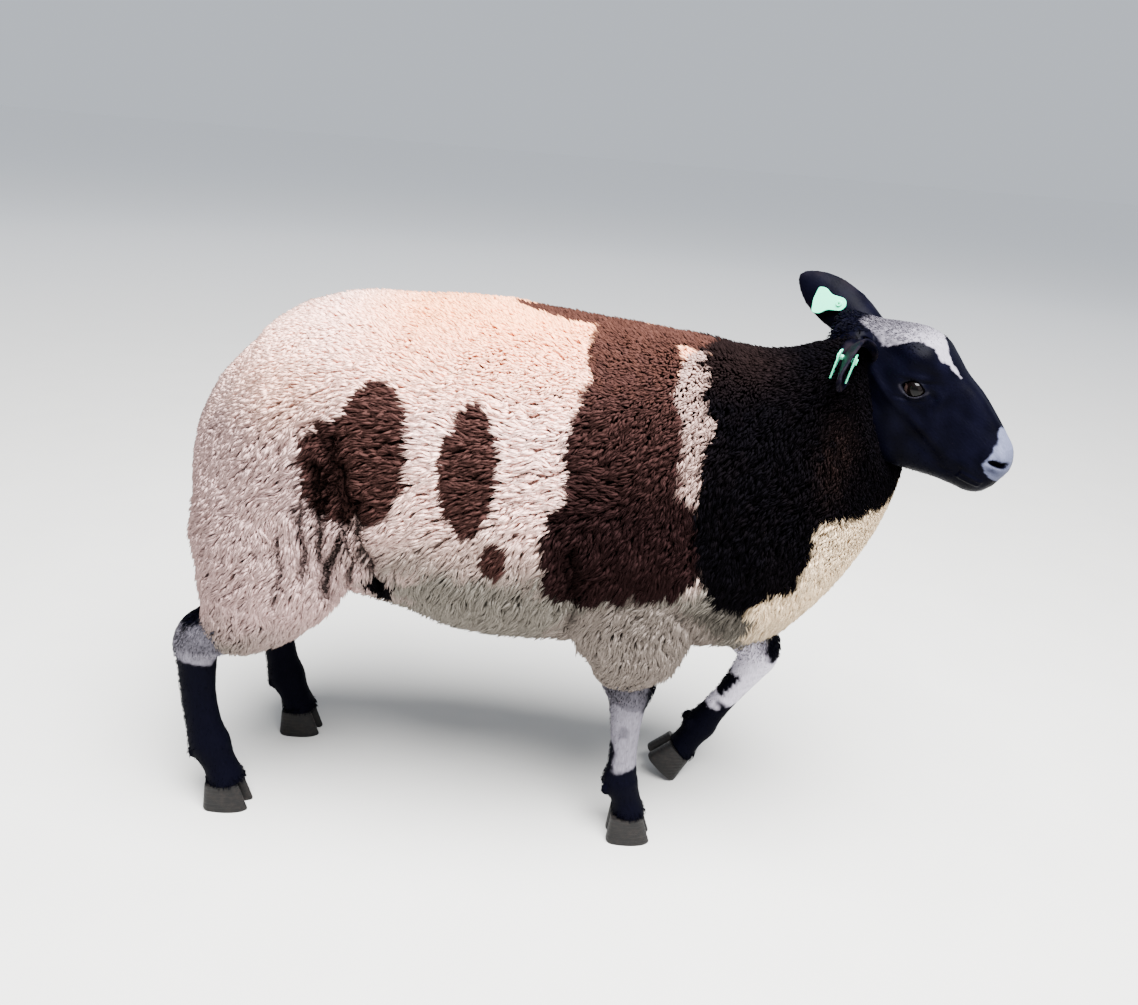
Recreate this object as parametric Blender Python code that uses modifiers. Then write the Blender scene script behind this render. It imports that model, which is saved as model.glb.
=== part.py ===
"""A still, life-size Dutch spotted sheep, walking, with its head turned to its right.

Metres, +Z up. The sheep faces +X and its left side is +Y. The origin is on the ground under the middle
of its box. Trunk, neck and legs are lofts through named rings, the fleece is a core with rounded clumps
of wool fused to it, and the body is parted into torso, neck, tail and legs by thin flat cuts.
"""

import math
import random
from collections import namedtuple

import bmesh
import bpy
from mathutils import Matrix, Vector

GAP = 0.0003
RIGHT, LEFT = -1.0, 1.0
SIDES = {"right": RIGHT, "left": LEFT}

# How much of the coat's depth the smooth core under the clumps of wool fills.
CORE_FILLS = 0.5

# A body ring: its highest and lowest point, how far it lies to the left, its half width, its turn, and
# the depth of the coat. The sizes run to the tips of the coat.
BodyRing = namedtuple("BodyRing", "top_x top_z low_x low_z y half_width yaw coat")
BODY = {
    "tail head": BodyRing(-0.516, 0.596, -0.518, 0.420, 0.0, 0.080, 0, 0.036),
    "pin bones": BodyRing(-0.490, 0.646, -0.500, 0.385, 0.0, 0.122, 0, 0.042),
    "buttock": BodyRing(-0.450, 0.690, -0.458, 0.366, 0.0, 0.156, 0, 0.044),
    "croup": BodyRing(-0.400, 0.737, -0.400, 0.358, 0.0, 0.186, 0, 0.044),
    "hips": BodyRing(-0.320, 0.768, -0.320, 0.352, 0.0, 0.197, 0, 0.044),
    "flank": BodyRing(-0.230, 0.774, -0.230, 0.334, 0.0, 0.204, 0, 0.044),
    "paunch": BodyRing(-0.120, 0.778, -0.120, 0.304, 0.0, 0.213, 0, 0.042),
    "girth": BodyRing(0.000, 0.766, 0.000, 0.302, 0.0, 0.208, 0, 0.044),
    "withers": BodyRing(0.090, 0.758, 0.090, 0.306, 0.0, 0.196, 0, 0.044),
    "shoulder": BodyRing(0.165, 0.752, 0.190, 0.304, 0.0, 0.184, -3, 0.044),
    "brisket": BodyRing(0.225, 0.742, 0.306, 0.318, -0.004, 0.166, -8, 0.044),
    "neck base": BodyRing(0.268, 0.746, 0.388, 0.400, -0.014, 0.144, -15, 0.038),
    "mid neck": BodyRing(0.305, 0.760, 0.430, 0.482, -0.030, 0.120, -23, 0.030),
    "throat": BodyRing(0.334, 0.775, 0.438, 0.544, -0.046, 0.098, -30, 0.024),
    "nape": BodyRing(0.356, 0.786, 0.432, 0.584, -0.062, 0.082, -34, 0.020),
}
BODY_STEPS, BODY_SIDES = 1, 20
# The clumps that close the body behind, as shares of the tail head's half width and height.
END_CLUMPS_OUT, END_CLUMPS_UP, END_CLUMP_SIZE = (-0.65, 0.65), (0.22, 0.72), 0.80
# The back is narrower than the belly, and both are fuller than an ellipse.
BACK_NARROWING, FULLNESS = 0.10, 0.90

# A leg ring: where its middle lies, half its depth fore and aft, half its width, its distance out from
# the midline, and the depth of the coat.
LegRing = namedtuple("LegRing", "x z depth width out coat")
FORE_LEG = {
    "upper arm": LegRing(0.100, 0.440, 0.098, 0.062, 0.118, 0.040),
    "elbow": LegRing(0.102, 0.375, 0.090, 0.060, 0.118, 0.038),
    "forearm": LegRing(0.107, 0.318, 0.074, 0.054, 0.112, 0.034),
    "above knee": LegRing(0.106, 0.285, 0.056, 0.045, 0.106, 0.024),
    "knee top": LegRing(0.109, 0.266, 0.036, 0.031, 0.102, 0.008),
    "knee": LegRing(0.111, 0.246, 0.031, 0.028, 0.100, 0.000),
    "below knee": LegRing(0.110, 0.220, 0.025, 0.022, 0.100, 0.000),
    "cannon": LegRing(0.111, 0.165, 0.0200, 0.0180, 0.100, 0.000),
    "lower cannon": LegRing(0.112, 0.122, 0.0215, 0.0195, 0.100, 0.000),
    "fetlock": LegRing(0.112, 0.098, 0.026, 0.024, 0.100, 0.000),
    "pastern": LegRing(0.122, 0.070, 0.0215, 0.022, 0.100, 0.000),
    "coronet": LegRing(0.129, 0.0445, 0.0245, 0.0265, 0.100, 0.000),
}
HIND_LEG = {
    "hip": LegRing(-0.375, 0.560, 0.105, 0.060, 0.100, 0.040),
    "thigh": LegRing(-0.388, 0.480, 0.118, 0.072, 0.113, 0.040),
    "stifle": LegRing(-0.399, 0.410, 0.114, 0.071, 0.116, 0.038),
    "gaskin": LegRing(-0.418, 0.355, 0.100, 0.063, 0.114, 0.034),
    "lower gaskin": LegRing(-0.448, 0.310, 0.078, 0.052, 0.110, 0.028),
    "hock top": LegRing(-0.484, 0.283, 0.052, 0.038, 0.107, 0.016),
    "hock": LegRing(-0.504, 0.262, 0.036, 0.028, 0.105, 0.004),
    "below hock": LegRing(-0.510, 0.232, 0.028, 0.023, 0.105, 0.000),
    "cannon": LegRing(-0.511, 0.185, 0.0245, 0.0205, 0.105, 0.000),
    "lower cannon": LegRing(-0.505, 0.135, 0.0255, 0.0215, 0.105, 0.000),
    "fetlock": LegRing(-0.498, 0.104, 0.030, 0.0255, 0.105, 0.000),
    "pastern": LegRing(-0.486, 0.073, 0.0240, 0.0235, 0.105, 0.000),
    "coronet": LegRing(-0.476, 0.0445, 0.0265, 0.0285, 0.105, 0.000),
}
# The left foreleg swings forward with its knee bent, and only its toes are on the ground.
SWINGING_LEG = {
    "upper arm": LegRing(0.150, 0.450, 0.085, 0.060, 0.105, 0.040),
    "elbow": LegRing(0.185, 0.385, 0.080, 0.058, 0.100, 0.038),
    "forearm": LegRing(0.235, 0.327, 0.066, 0.050, 0.090, 0.034),
    "above knee": LegRing(0.283, 0.288, 0.047, 0.040, 0.076, 0.024),
    "knee top": LegRing(0.312, 0.264, 0.035, 0.031, 0.070, 0.008),
    "knee": LegRing(0.322, 0.239, 0.031, 0.028, 0.066, 0.000),
    "below knee": LegRing(0.311, 0.213, 0.026, 0.022, 0.065, 0.000),
    "cannon": LegRing(0.284, 0.165, 0.0205, 0.0180, 0.065, 0.000),
    "lower cannon": LegRing(0.260, 0.127, 0.0215, 0.0195, 0.065, 0.000),
    "fetlock": LegRing(0.246, 0.103, 0.026, 0.024, 0.065, 0.000),
    "pastern": LegRing(0.231, 0.077, 0.0215, 0.022, 0.065, 0.000),
    "coronet": LegRing(0.218, 0.0535, 0.0245, 0.0265, 0.065, 0.000),
}
LEFT_HIND_AHEAD = 0.052
# The ring at which the wool of a foreleg and of a hind leg ends.
WOOL_ENDS = {"fore": "knee top", "hind": "hock top"}
UPPER_STEPS, LOWER_STEPS, LEG_SIDES = 2, 1, 12
SWINGING_FOOT_TURN = math.radians(45.0)

# A claw, seen from above in its foot: its heel, its toe, its width, and how far it stands off the middle.
CLAW_HEEL, CLAW_TOE, CLAW_WIDTH, CLAW_OUT = -0.030, 0.036, 0.0250, 0.0137
CLAW_TALL, TOE_LEAN, HEEL_LEAN, CLAW_TAPER = 0.0442, 0.0150, 0.0040, 0.06
CLAW_LEVELS, SOLE_TUCK = [0.0, 0.005, 0.024, CLAW_TALL], 0.93
# The outline of a claw from its heel round its straight inner side to the toe and back, as shares of its
# length and half width.
CLAW_OUTLINE = [
    (0.0, 0.45), (0.0, -0.45), (0.12, -0.92), (0.45, -1.0), (0.72, -0.82), (0.90, -0.48), (1.0, 0.05),
    (0.92, 0.42), (0.72, 0.70), (0.45, 0.86), (0.12, 0.80),
]
# A dewclaw's half sizes, and its place behind and below the fetlock.
DEWCLAW, DEWCLAW_AT = Vector((0.008, 0.006, 0.010)), Vector((-0.0205, 0.012, -0.010))

# A clump of wool: half its length along the lie and half its width, for a coat of full depth.
Clump = namedtuple("Clump", "length width")
CLUMPS = [Clump(0.076, 0.067), Clump(0.070, 0.062), Clump(0.065, 0.059)]
CLUMP_SPACING, ROW_SPACING, ROW_LINE_UP, CLUMP_SUNK = 0.120, 0.112, 0.30, 0.007
CLUMP_DROOP, CLUMP_SWERVE, CLUMP_STRAY = math.radians(13), math.radians(20), 0.10
CLUMP_SIDES, CLUMP_BANDS, CLUMP_SEED = 7, 4, 11
WOOL_LIE = Vector((-0.45, 0.0, -1.0))
# Rows of clumps on the upper legs: which ring, how many round it, and their size against the trunk's.
LegRow = namedtuple("LegRow", "ring count size")
FORE_ROWS = [LegRow("elbow", 6, 0.78), LegRow("forearm", 5, 0.74), LegRow("above knee", 5, 0.60)]
HIND_ROWS = [
    LegRow("thigh", 5, 0.92), LegRow("stifle", 6, 0.84), LegRow("gaskin", 5, 0.84),
    LegRow("lower gaskin", 5, 0.72), LegRow("hock top", 4, 0.56),
]
# A clump is left out where its tip lies this far inside another limb or the trunk, as a share of the
# square of its half width, and round the root of an ear.
INSIDE, CLEAR_OF_EAR = 0.90, 0.066
# Clumps are smaller where the coat is shorter: a full coat, and the least share of their size.
FULL_COAT, LEAST_SIZE = 0.044, 0.45
TAIL_ROWS, TAIL_ROW_FROM, TAIL_ROW_TO, TAIL_CLUMP_SIZE = 3, 0.540, 0.368, 0.70

# The leg's box in the body, as x from and to, distance out from and to, and its top.
LegBox = namedtuple("LegBox", "back front near out top")
LEG_BOXES = {
    "leg_fore_right": LegBox(0.012, 0.205, 0.020, 0.230, 0.346),
    "leg_fore_left": LegBox(0.118, 0.420, 0.008, 0.230, 0.346),
    "leg_hind_right": LegBox(-0.640, -0.288, 0.012, 0.260, 0.402),
    "leg_hind_left": LegBox(-0.640, -0.236, 0.012, 0.260, 0.402),
}
NECK_CUT_AT, NECK_CUT_ACROSS = Vector((0.262, 0.0, 0.60)), Vector((0.90, -0.16, 0.42))
BELOW_GROUND = -0.050

# The tail hangs close behind the buttocks. A ring of it: height, how far it stands out, half width.
TailRing = namedtuple("TailRing", "z back half_width")
TAIL_ROOT_X = -0.5205
# The groove in the rump that the tail's root lies in: its face, half width, lowest and highest point.
GROOVE_X, GROOVE_HALF, GROOVE_LOW, GROOVE_TOP = -0.4960, 0.0455, 0.250, 0.640
TAIL = [
    TailRing(0.592, 0.002, 0.022), TailRing(0.566, 0.008, 0.034), TailRing(0.520, 0.015, 0.040),
    TailRing(0.460, 0.021, 0.042), TailRing(0.400, 0.023, 0.038), TailRing(0.350, 0.018, 0.028),
    TailRing(0.322, 0.006, 0.012),
]
TAIL_SIDES, TAIL_COAT, TAIL_SUNK, TAIL_STAGGER = 12, 0.018, 0.050, 0.012
TAIL_CLUMPS_OUT, TAIL_CLUMPS_BACK = 0.55, 0.84

# The head is laid out along its own axis, from the poll to the nose, and then turned and tipped.
POLL = Vector((0.380, -0.035, 0.788))
HEAD_YAW, HEAD_PITCH = math.radians(-34.0), math.radians(32.7)
# A head ring: how far along, then crown height, brow corner, cheek, jaw corner and chin height.
HeadRing = namedtuple("HeadRing", "x top brow_w brow_z side_w side_z jaw_w jaw_z low")
HEAD = {
    "nape": HeadRing(-0.060, -0.022, 0.030, -0.030, 0.045, -0.070, 0.032, -0.118, -0.138),
    "poll": HeadRing(-0.012, 0.000, 0.032, -0.008, 0.047, -0.055, 0.036, -0.128, -0.150),
    "crown": HeadRing(0.020, 0.021, 0.035, 0.012, 0.049, -0.044, 0.037, -0.126, -0.150),
    "temple": HeadRing(0.050, 0.039, 0.040, 0.028, 0.050, -0.040, 0.038, -0.126, -0.151),
    "brow": HeadRing(0.078, 0.046, 0.045, 0.031, 0.050, -0.038, 0.038, -0.120, -0.145),
    "eye": HeadRing(0.100, 0.042, 0.040, 0.027, 0.047, -0.036, 0.036, -0.113, -0.138),
    "face": HeadRing(0.128, 0.034, 0.027, 0.023, 0.040, -0.034, 0.032, -0.103, -0.126),
    "bridge": HeadRing(0.160, 0.029, 0.020, 0.021, 0.033, -0.031, 0.027, -0.088, -0.109),
    "muzzle": HeadRing(0.190, 0.021, 0.017, 0.014, 0.029, -0.028, 0.024, -0.074, -0.092),
    "nose": HeadRing(0.215, 0.013, 0.017, 0.006, 0.029, -0.026, 0.023, -0.063, -0.081),
    "nostrils": HeadRing(0.233, 0.006, 0.016, -0.001, 0.027, -0.025, 0.021, -0.057, -0.074),
    "lips": HeadRing(0.245, -0.006, 0.012, -0.011, 0.021, -0.028, 0.016, -0.051, -0.063),
    "tip": HeadRing(0.251, -0.019, 0.006, -0.021, 0.010, -0.031, 0.007, -0.042, -0.046),
}
HEAD_STEPS, HEAD_SIDES = 2, 24
# Where the head leaves the wool of the neck, in the head's axes.
HEAD_CUT_AT, HEAD_CUT_ACROSS = Vector((0.022, 0.0, -0.060)), Vector((0.855, 0.0, 0.519))

# The eye, in the head's axes, as along, out and up.
EYE_AT, EYE_RADIUS = Vector((0.0995, 0.0360, -0.0115)), 0.0150
LID_THICK = 0.0030
LID_LENGTH, LID_HEIGHT, LID_SLANT = 0.0280, 0.0175, math.radians(25.0)

NOSTRIL_AT, NOSTRIL_HALF = Vector((0.2385, 0.0165, -0.0165)), Vector((0.0085, 0.0062, 0.0030))
NOSTRIL_SLANT, NOSTRIL_FLARE = math.radians(-38.0), math.radians(30.0)
# The almond opening of the lids: how far out it starts and ends, its size there, and its pointed ends.
LID_CUT, LID_POINTS, LID_SIDES = ((0.004, 0.86), (0.022, 1.14)), 0.30, 14
# The line of the mouth, from the front of the muzzle back to its corner, as along and up.
MOUTH = [Vector((0.258, -0.045)), Vector((0.240, -0.0475)), Vector((0.226, -0.052)), Vector((0.213, -0.055))]
MOUTH_GAP, MOUTH_HALF_WIDTH = 0.0014, 0.04
LIP_RADIUS, LIP_RAISED, LIP_SUNK, LIP_SIDES = 0.0034, 0.90, 0.55, 6

# The ear: its length, thickness, and its stations as share of length, width along the skin and roll.
EAR_LENGTH, EAR_THICK = 0.150, 0.0034
EarStation = namedtuple("EarStation", "along width roll")
EAR = [
    EarStation(0.00, 0.058, 250), EarStation(0.14, 0.062, 200), EarStation(0.30, 0.068, 146),
    EarStation(0.46, 0.070, 108), EarStation(0.62, 0.066, 84), EarStation(0.76, 0.055, 68),
    EarStation(0.88, 0.037, 56), EarStation(0.96, 0.018, 48),
]
EAR_ACROSS, EAR_CLEAR, EAR_HEEL, EAR_TIP_CURL = 8, 0.0044, 0.010, 0.004
EAR_ROOT = Vector((0.006, 0.040, -0.020))
EAR_BASE_RADIUS = 0.0220
# Each ear's direction and the way its cup opens, in the head's axes. The left one is laid back.
EAR_WAY = {"left": Vector((-0.982, 0.136, -0.130)), "right": Vector((0.279, -0.959, -0.019))}
EAR_OPENS = {"left": Vector((0.18, 0.93, -0.30)), "right": Vector((0.90, 0.25, 0.34))}

# A tag: the round end that the stud goes through, and the plate that flares from it.
TAG_ROUND, TAG_LENGTH, TAG_WIDE, TAG_THICK = 0.0095, 0.0470, 0.0370, 0.0020
TAG_STUD, TAG_BOSS, TAG_BOSS_TAPER, TAG_BOSS_TALL, TAG_ALONG = 0.0032, 0.0052, 0.7, 0.0032, 0.46
# Half the outline of the plate past its round end, as along and across: neck, shoulder and notched foot.
TAG_FLARE = [(0.014, 0.0108), (0.024, TAG_WIDE / 2), (TAG_LENGTH - 0.012, TAG_WIDE / 2)]
TAG_NOTCH, TAG_ROUND_STEPS, TAG_STUD_SIDES = TAG_LENGTH - 0.009, 6, 10
TAG_OFF = {"inner": 0.0120, "outer": 0.0055}
# The way each plate hangs off its stud, in the head's axes.
TAG_HANGS = {
    "left outer": Vector((-0.82, -0.48, -0.29)), "left inner": EAR_WAY["left"],
    "right outer": EAR_WAY["right"], "right inner": EAR_WAY["right"],
}

# Where the middle of the sheep's box lies in the axes used above.
BOX_MIDDLE = Vector((0.0042, -0.0010, 0.0))

COLOURS = {
    "fleece": ("#cdb9a4", 0.95), "short hair": ("#17161a", 0.70), "horn of the claws": ("#1d1b1c", 0.55),
    "eye": ("#120c0a", 0.08), "tag plastic": ("#9be3c0", 0.45),
}


def srgb(code):
    """A hex colour as linear red, green, blue and one."""
    parts = [int(code[i:i + 2], 16) / 255 for i in (1, 3, 5)]
    return [p / 12.92 if p <= 0.04045 else ((p + 0.055) / 1.055) ** 2.4 for p in parts] + [1.0]


def clear_scene():
    for obj in list(bpy.data.objects):
        bpy.data.objects.remove(obj)


def make_materials():
    made = {}
    for name, (code, roughness) in COLOURS.items():
        material = bpy.data.materials.new(name)
        material.use_nodes = True
        shader = material.node_tree.nodes["Principled BSDF"]
        shader.inputs["Base Color"].default_value = srgb(code)
        shader.inputs["Roughness"].default_value = roughness
        made[name] = material
    return made


def smooth_between(a, b, c, d, t):
    """The Catmull-Rom curve from b to c, for numbers or vectors."""
    return 0.5 * (
        2 * b + (c - a) * t + (2 * a - 5 * b + 4 * c - d) * t * t + (3 * b - a - 3 * c + d) * t * t * t
    )


def refine(rings, steps):
    """The rings with smooth ones set between them, field by field."""
    rings = list(rings)
    kind = type(rings[0])
    out = []
    for i in range(len(rings) - 1):
        four = [rings[max(0, i - 1)], rings[i], rings[i + 1], rings[min(len(rings) - 1, i + 2)]]
        for k in range(steps):
            out.append(kind(*(smooth_between(*values, k / steps) for values in zip(*four))))
    return out + [rings[-1]]


def new_object(name, bm, material=None):
    mesh = bpy.data.meshes.new(name)
    bm.to_mesh(mesh)
    bm.free()
    if material:
        mesh.materials.append(material)
    obj = bpy.data.objects.new(name, mesh)
    bpy.context.scene.collection.objects.link(obj)
    return obj


def loft(name, rings, material=None, tip=None):
    """A closed solid through rings of points, each given the same way round. A tip closes the far end."""
    bm = bmesh.new()
    rows = [[bm.verts.new(p) for p in ring] for ring in rings]
    count = len(rows[0])
    for row, after in zip(rows, rows[1:]):
        for k in range(count):
            bm.faces.new((row[k], row[(k + 1) % count], after[(k + 1) % count], after[k]))
    bm.faces.new(rows[0][::-1])
    if tip:
        point = bm.verts.new(tip)
        for k in range(count):
            bm.faces.new((rows[-1][k], rows[-1][(k + 1) % count], point))
    else:
        bm.faces.new(rows[-1])
    bmesh.ops.recalc_face_normals(bm, faces=bm.faces)
    return new_object(name, bm, material)


def box(name, low, high):
    bm = bmesh.new()
    bmesh.ops.create_cube(bm, size=1.0)
    size = Vector(high) - Vector(low)
    bmesh.ops.scale(bm, vec=size, verts=bm.verts)
    bmesh.ops.translate(bm, vec=(Vector(high) + Vector(low)) / 2, verts=bm.verts)
    return new_object(name, bm)


def half_space(name, point, across, size=2.0):
    """A large box on the side of a plane that its normal points to."""
    bm = bmesh.new()
    bmesh.ops.create_cube(bm, size=size)
    bmesh.ops.translate(bm, vec=(0, 0, size / 2), verts=bm.verts)
    turn = Vector((0, 0, 1)).rotation_difference(across.normalized()).to_matrix().to_4x4()
    bm.transform(Matrix.Translation(point) @ turn)
    return new_object(name, bm)


def ball(name, at, half, turn=None, segments=14, rings=8):
    """An ellipsoid with these half sizes, turned about its own middle."""
    bm = bmesh.new()
    bmesh.ops.create_uvsphere(bm, u_segments=segments, v_segments=rings, radius=1.0)
    size = Matrix.Diagonal(Vector(half)).to_4x4()
    bm.transform(Matrix.Translation(at) @ (turn or Matrix()).to_4x4() @ size)
    return new_object(name, bm)


def freeze(obj):
    """The object's modifiers and placing, written into its mesh."""
    bpy.context.view_layer.update()
    graph = bpy.context.evaluated_depsgraph_get()
    mesh = bpy.data.meshes.new_from_object(obj.evaluated_get(graph))
    obj.modifiers.clear()
    obj.data = mesh
    mesh.transform(obj.matrix_world)
    obj.matrix_world = Matrix()
    return obj


def boolean(obj, operation, others, solver="MANIFOLD"):
    """Cuts with or joins all the others at once, and removes them."""
    group = bpy.data.collections.new("operands")
    bpy.context.scene.collection.children.link(group)
    for other in others:
        group.objects.link(other)
    modifier = obj.modifiers.new(operation.lower(), "BOOLEAN")
    modifier.operation = operation
    modifier.solver = solver
    modifier.operand_type = "COLLECTION"
    modifier.collection = group
    freeze(obj)
    for other in others:
        bpy.data.objects.remove(other)
    bpy.data.collections.remove(group)
    return obj


def copy_of(obj, name):
    twin = obj.copy()
    twin.data = obj.data.copy()
    twin.name = name
    bpy.context.scene.collection.objects.link(twin)
    return twin


def keep_largest(obj):
    """Drops all but the largest closed surface of the object."""
    bm = bmesh.new()
    bm.from_mesh(obj.data)
    bm.faces.ensure_lookup_table()
    left, pieces = set(bm.faces), []
    while left:
        piece, edge = set(), {left.pop()}
        while edge:
            face = edge.pop()
            piece.add(face)
            near = {f for side in face.edges for f in side.link_faces} & left
            left -= near
            edge |= near
        pieces.append(piece)
    main = max(pieces, key=lambda piece: sum(face.calc_area() for face in piece))
    bmesh.ops.delete(bm, geom=[f for piece in pieces if piece is not main for f in piece], context="FACES")
    loose = [v for v in bm.verts if not v.link_faces]
    bmesh.ops.delete(bm, geom=loose, context="VERTS")
    bm.to_mesh(obj.data)
    bm.free()
    return obj


def body_section(ring, fills=1.0, sides=BODY_SIDES):
    """The points round a ring of trunk or neck, from the spine down its left side and up its right.

    fills is the share of the coat's depth that the section takes in.
    """
    inset = ring.coat * (1 - fills)
    top = Vector((ring.top_x, ring.y, ring.top_z))
    low = Vector((ring.low_x, ring.y, ring.low_z))
    middle, up = (top + low) / 2, (top - low) / 2
    up -= up.normalized() * inset
    yaw = math.radians(ring.yaw)
    out = Vector((-math.sin(yaw), math.cos(yaw), 0)) * (ring.half_width - inset)
    points = []
    for k in range(sides):
        turn = 2 * math.pi * k / sides
        c, s = math.cos(turn), math.sin(turn)
        high = math.copysign(abs(c) ** FULLNESS, c)
        wide = math.copysign(abs(s) ** FULLNESS, s) * (1 - BACK_NARROWING * c)
        points.append(middle + up * high + out * wide)
    return points


def trunk_and_neck(fills):
    rings = refine(BODY.values(), BODY_STEPS)
    sections = [body_section(ring, fills) for ring in rings]
    into = Vector((rings[0].coat * (1 - fills), 0, 0))
    sections[0] = [p + into for p in sections[0]]
    return loft("body", sections)


def clump(tip, out, coat, size, draw):
    """A rounded clump of wool with its tip here and its root sunk in the core. out points off the skin."""
    half = coat * (1 - CORE_FILLS) + CLUMP_SUNK
    lie = (WOOL_LIE - out * WOOL_LIE.dot(out)).normalized()
    lie = Matrix.Rotation(draw.uniform(-CLUMP_SWERVE, CLUMP_SWERVE), 3, out) @ lie
    lean = out * math.cos(CLUMP_DROOP) + lie * math.sin(CLUMP_DROOP)
    along = (lie - lean * lie.dot(lean)).normalized()
    turn = Matrix((along, lean.cross(along), lean)).transposed()
    kind = draw.choice(CLUMPS)
    grow = size * draw.uniform(0.95, 1.06) * (LEAST_SIZE + (1 - LEAST_SIZE) * coat / FULL_COAT)
    return ball(
        "clump", tip - out * half, (kind.length * grow, kind.width * grow, half * draw.uniform(0.97, 1.03)),
        turn, CLUMP_SIDES, CLUMP_BANDS)


def along_ring(points, share):
    """The point this share of the way round a closed ring, and the way the ring runs there."""
    sides = [(b - a) for a, b in zip(points, points[1:] + points[:1])]
    left = (share % 1.0) * sum(side.length for side in sides)
    for start, side in zip(points, sides):
        if left <= side.length:
            return start + side * (left / side.length), side.normalized()
        left -= side.length
    return points[0], sides[0].normalized()


def girth_of(points):
    return sum((b - a).length for a, b in zip(points, points[1:] + points[:1]))


def spaced(rings, spacing, place):
    """Rings this far apart along the line of their places, taken from closely set ones."""
    fine = refine(rings, 12)
    rows, run = [], spacing / 2
    for ring, after in zip(fine, fine[1:]):
        run += (place(after) - place(ring)).length
        if run >= spacing:
            rows.append((ring, after))
            run -= spacing
    return rows


def body_middle(ring):
    return Vector(((ring.top_x + ring.low_x) / 2, ring.y, (ring.top_z + ring.low_z) / 2))


def body_low(ring):
    """A point low in the body, on a line that runs under the neck more than over it."""
    share = ROW_LINE_UP
    along = ring.low_x + (ring.top_x - ring.low_x) * share
    return Vector((along, ring.y, ring.low_z + (ring.top_z - ring.low_z) * share))


def inside_limb(point, limbs):
    """Whether a point lies well inside a leg."""
    for rings, side, _ in limbs.values():
        for ring in refine(rings.values(), 4):
            off = point - leg_middle(ring, side)
            near = (off.x / ring.depth) ** 2 + (off.y / ring.width) ** 2
            if abs(off.z) < ring.coat / 2 and near < INSIDE:
                return True
    return False


def inside_trunk(point):
    """Whether a point lies well inside the trunk."""
    for ring in refine(BODY.values(), 3):
        middle = body_middle(ring)
        off = point - middle
        near = (off.y / ring.half_width) ** 2 + (off.z / (ring.top_z - middle.z)) ** 2
        if abs(off.x) < ring.coat / 2 and near < INSIDE:
            return True
    return False


def body_clumps(limbs, draw):
    made = []
    ears = [head_matrix() @ mirrored(EAR_ROOT, side) for side in SIDES.values()]
    for row, (ring, after) in enumerate(spaced(BODY.values(), ROW_SPACING, body_low)):
        points, beyond = body_section(ring, sides=72), body_section(after, sides=72)
        count = round(girth_of(points) / CLUMP_SPACING)
        for k in range(count):
            share = (k + 0.5 * (row % 2) + draw.uniform(-CLUMP_STRAY, CLUMP_STRAY)) / count
            tip, run = along_ring(points, share)
            ahead = (along_ring(beyond, share)[0] - tip).normalized()
            out = run.cross(ahead).normalized()
            if out.dot(tip - body_middle(ring)) < 0:
                out = -out
            if not inside_limb(tip, limbs) and min((tip - ear).length for ear in ears) > CLEAR_OF_EAR:
                made.append(clump(tip, out, ring.coat, 1.0, draw))
    end = BODY["tail head"]
    for out in END_CLUMPS_OUT:
        for up in END_CLUMPS_UP:
            tip = Vector((end.top_x, out * end.half_width, end.low_z + (end.top_z - end.low_z) * up))
            made.append(clump(tip, Vector((-1, 0, 0)), end.coat, END_CLUMP_SIZE, draw))
    return made


def leg_clumps(rings, rows, side, draw):
    made = []
    names = list(rings)
    for number, row in enumerate(rows):
        ring = rings[row.ring]
        after = rings[names[names.index(row.ring) + 1]]
        middle, beyond = leg_middle(ring, side), leg_middle(after, side)
        run = (beyond - middle).normalized()
        fore = Vector((-run.z, 0, run.x)).normalized()
        for k in range(row.count):
            stray = draw.uniform(-CLUMP_STRAY, CLUMP_STRAY)
            turn = 2 * math.pi * (k + 0.5 * (number % 2) + stray) / row.count
            tip = middle + fore * ring.depth * math.cos(turn) + Vector((0, ring.width * math.sin(turn), 0))
            out = fore * math.cos(turn) / ring.depth + Vector((0, math.sin(turn) / ring.width, 0))
            out.normalize()
            if not inside_trunk(tip - out * ring.coat / 2):
                made.append(clump(tip, out, ring.coat, row.size, draw))
    return made


def leg_middle(ring, side):
    return Vector((ring.x, side * ring.out, ring.z))


def leg_sections(rings, side, last_way=None):
    """Rings of points square to the leg's run. last_way is the run of the last one, where it differs."""
    middles = [leg_middle(ring, side) for ring in rings]
    sections = []
    for i, ring in enumerate(rings):
        run = middles[min(i + 1, len(rings) - 1)] - middles[max(i - 1, 0)]
        if last_way and i == len(rings) - 1:
            run = last_way
        fore = Vector((-run.z, 0, run.x)).normalized()
        across = Vector((0, 1, 0))
        inset = ring.coat * (1 - CORE_FILLS)
        depth, width = ring.depth - inset, ring.width - inset
        sections.append([
            middles[i] + fore * depth * math.cos(turn) + across * width * math.sin(turn)
            for turn in (2 * math.pi * k / LEG_SIDES for k in range(LEG_SIDES))
        ])
    return sections


def foot_turn(swinging):
    """The turn of a foot about its own width, toes down where the leg swings."""
    return Matrix.Rotation(SWINGING_FOOT_TURN if swinging else 0.0, 3, "Y")


def wool_edge(name, rings, side):
    """Where the wool of a leg ends and its short hair begins: a point, and the way the leg runs there."""
    names = list(rings)
    edge = names.index(WOOL_ENDS[name.split("_")[1]])
    point = leg_middle(rings[names[edge]], side)
    run = leg_middle(rings[names[edge + 1]], side) - leg_middle(rings[names[edge - 1]], side)
    return point, run.normalized()


def upper_leg(name, rings, side):
    """The woolly part of a leg, with no clumps yet."""
    names = list(rings)
    kept = [rings[n] for n in names[:names.index(WOOL_ENDS[name.split("_")[1]]) + 2]]
    return loft(name, leg_sections(refine(kept, UPPER_STEPS), side))


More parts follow.
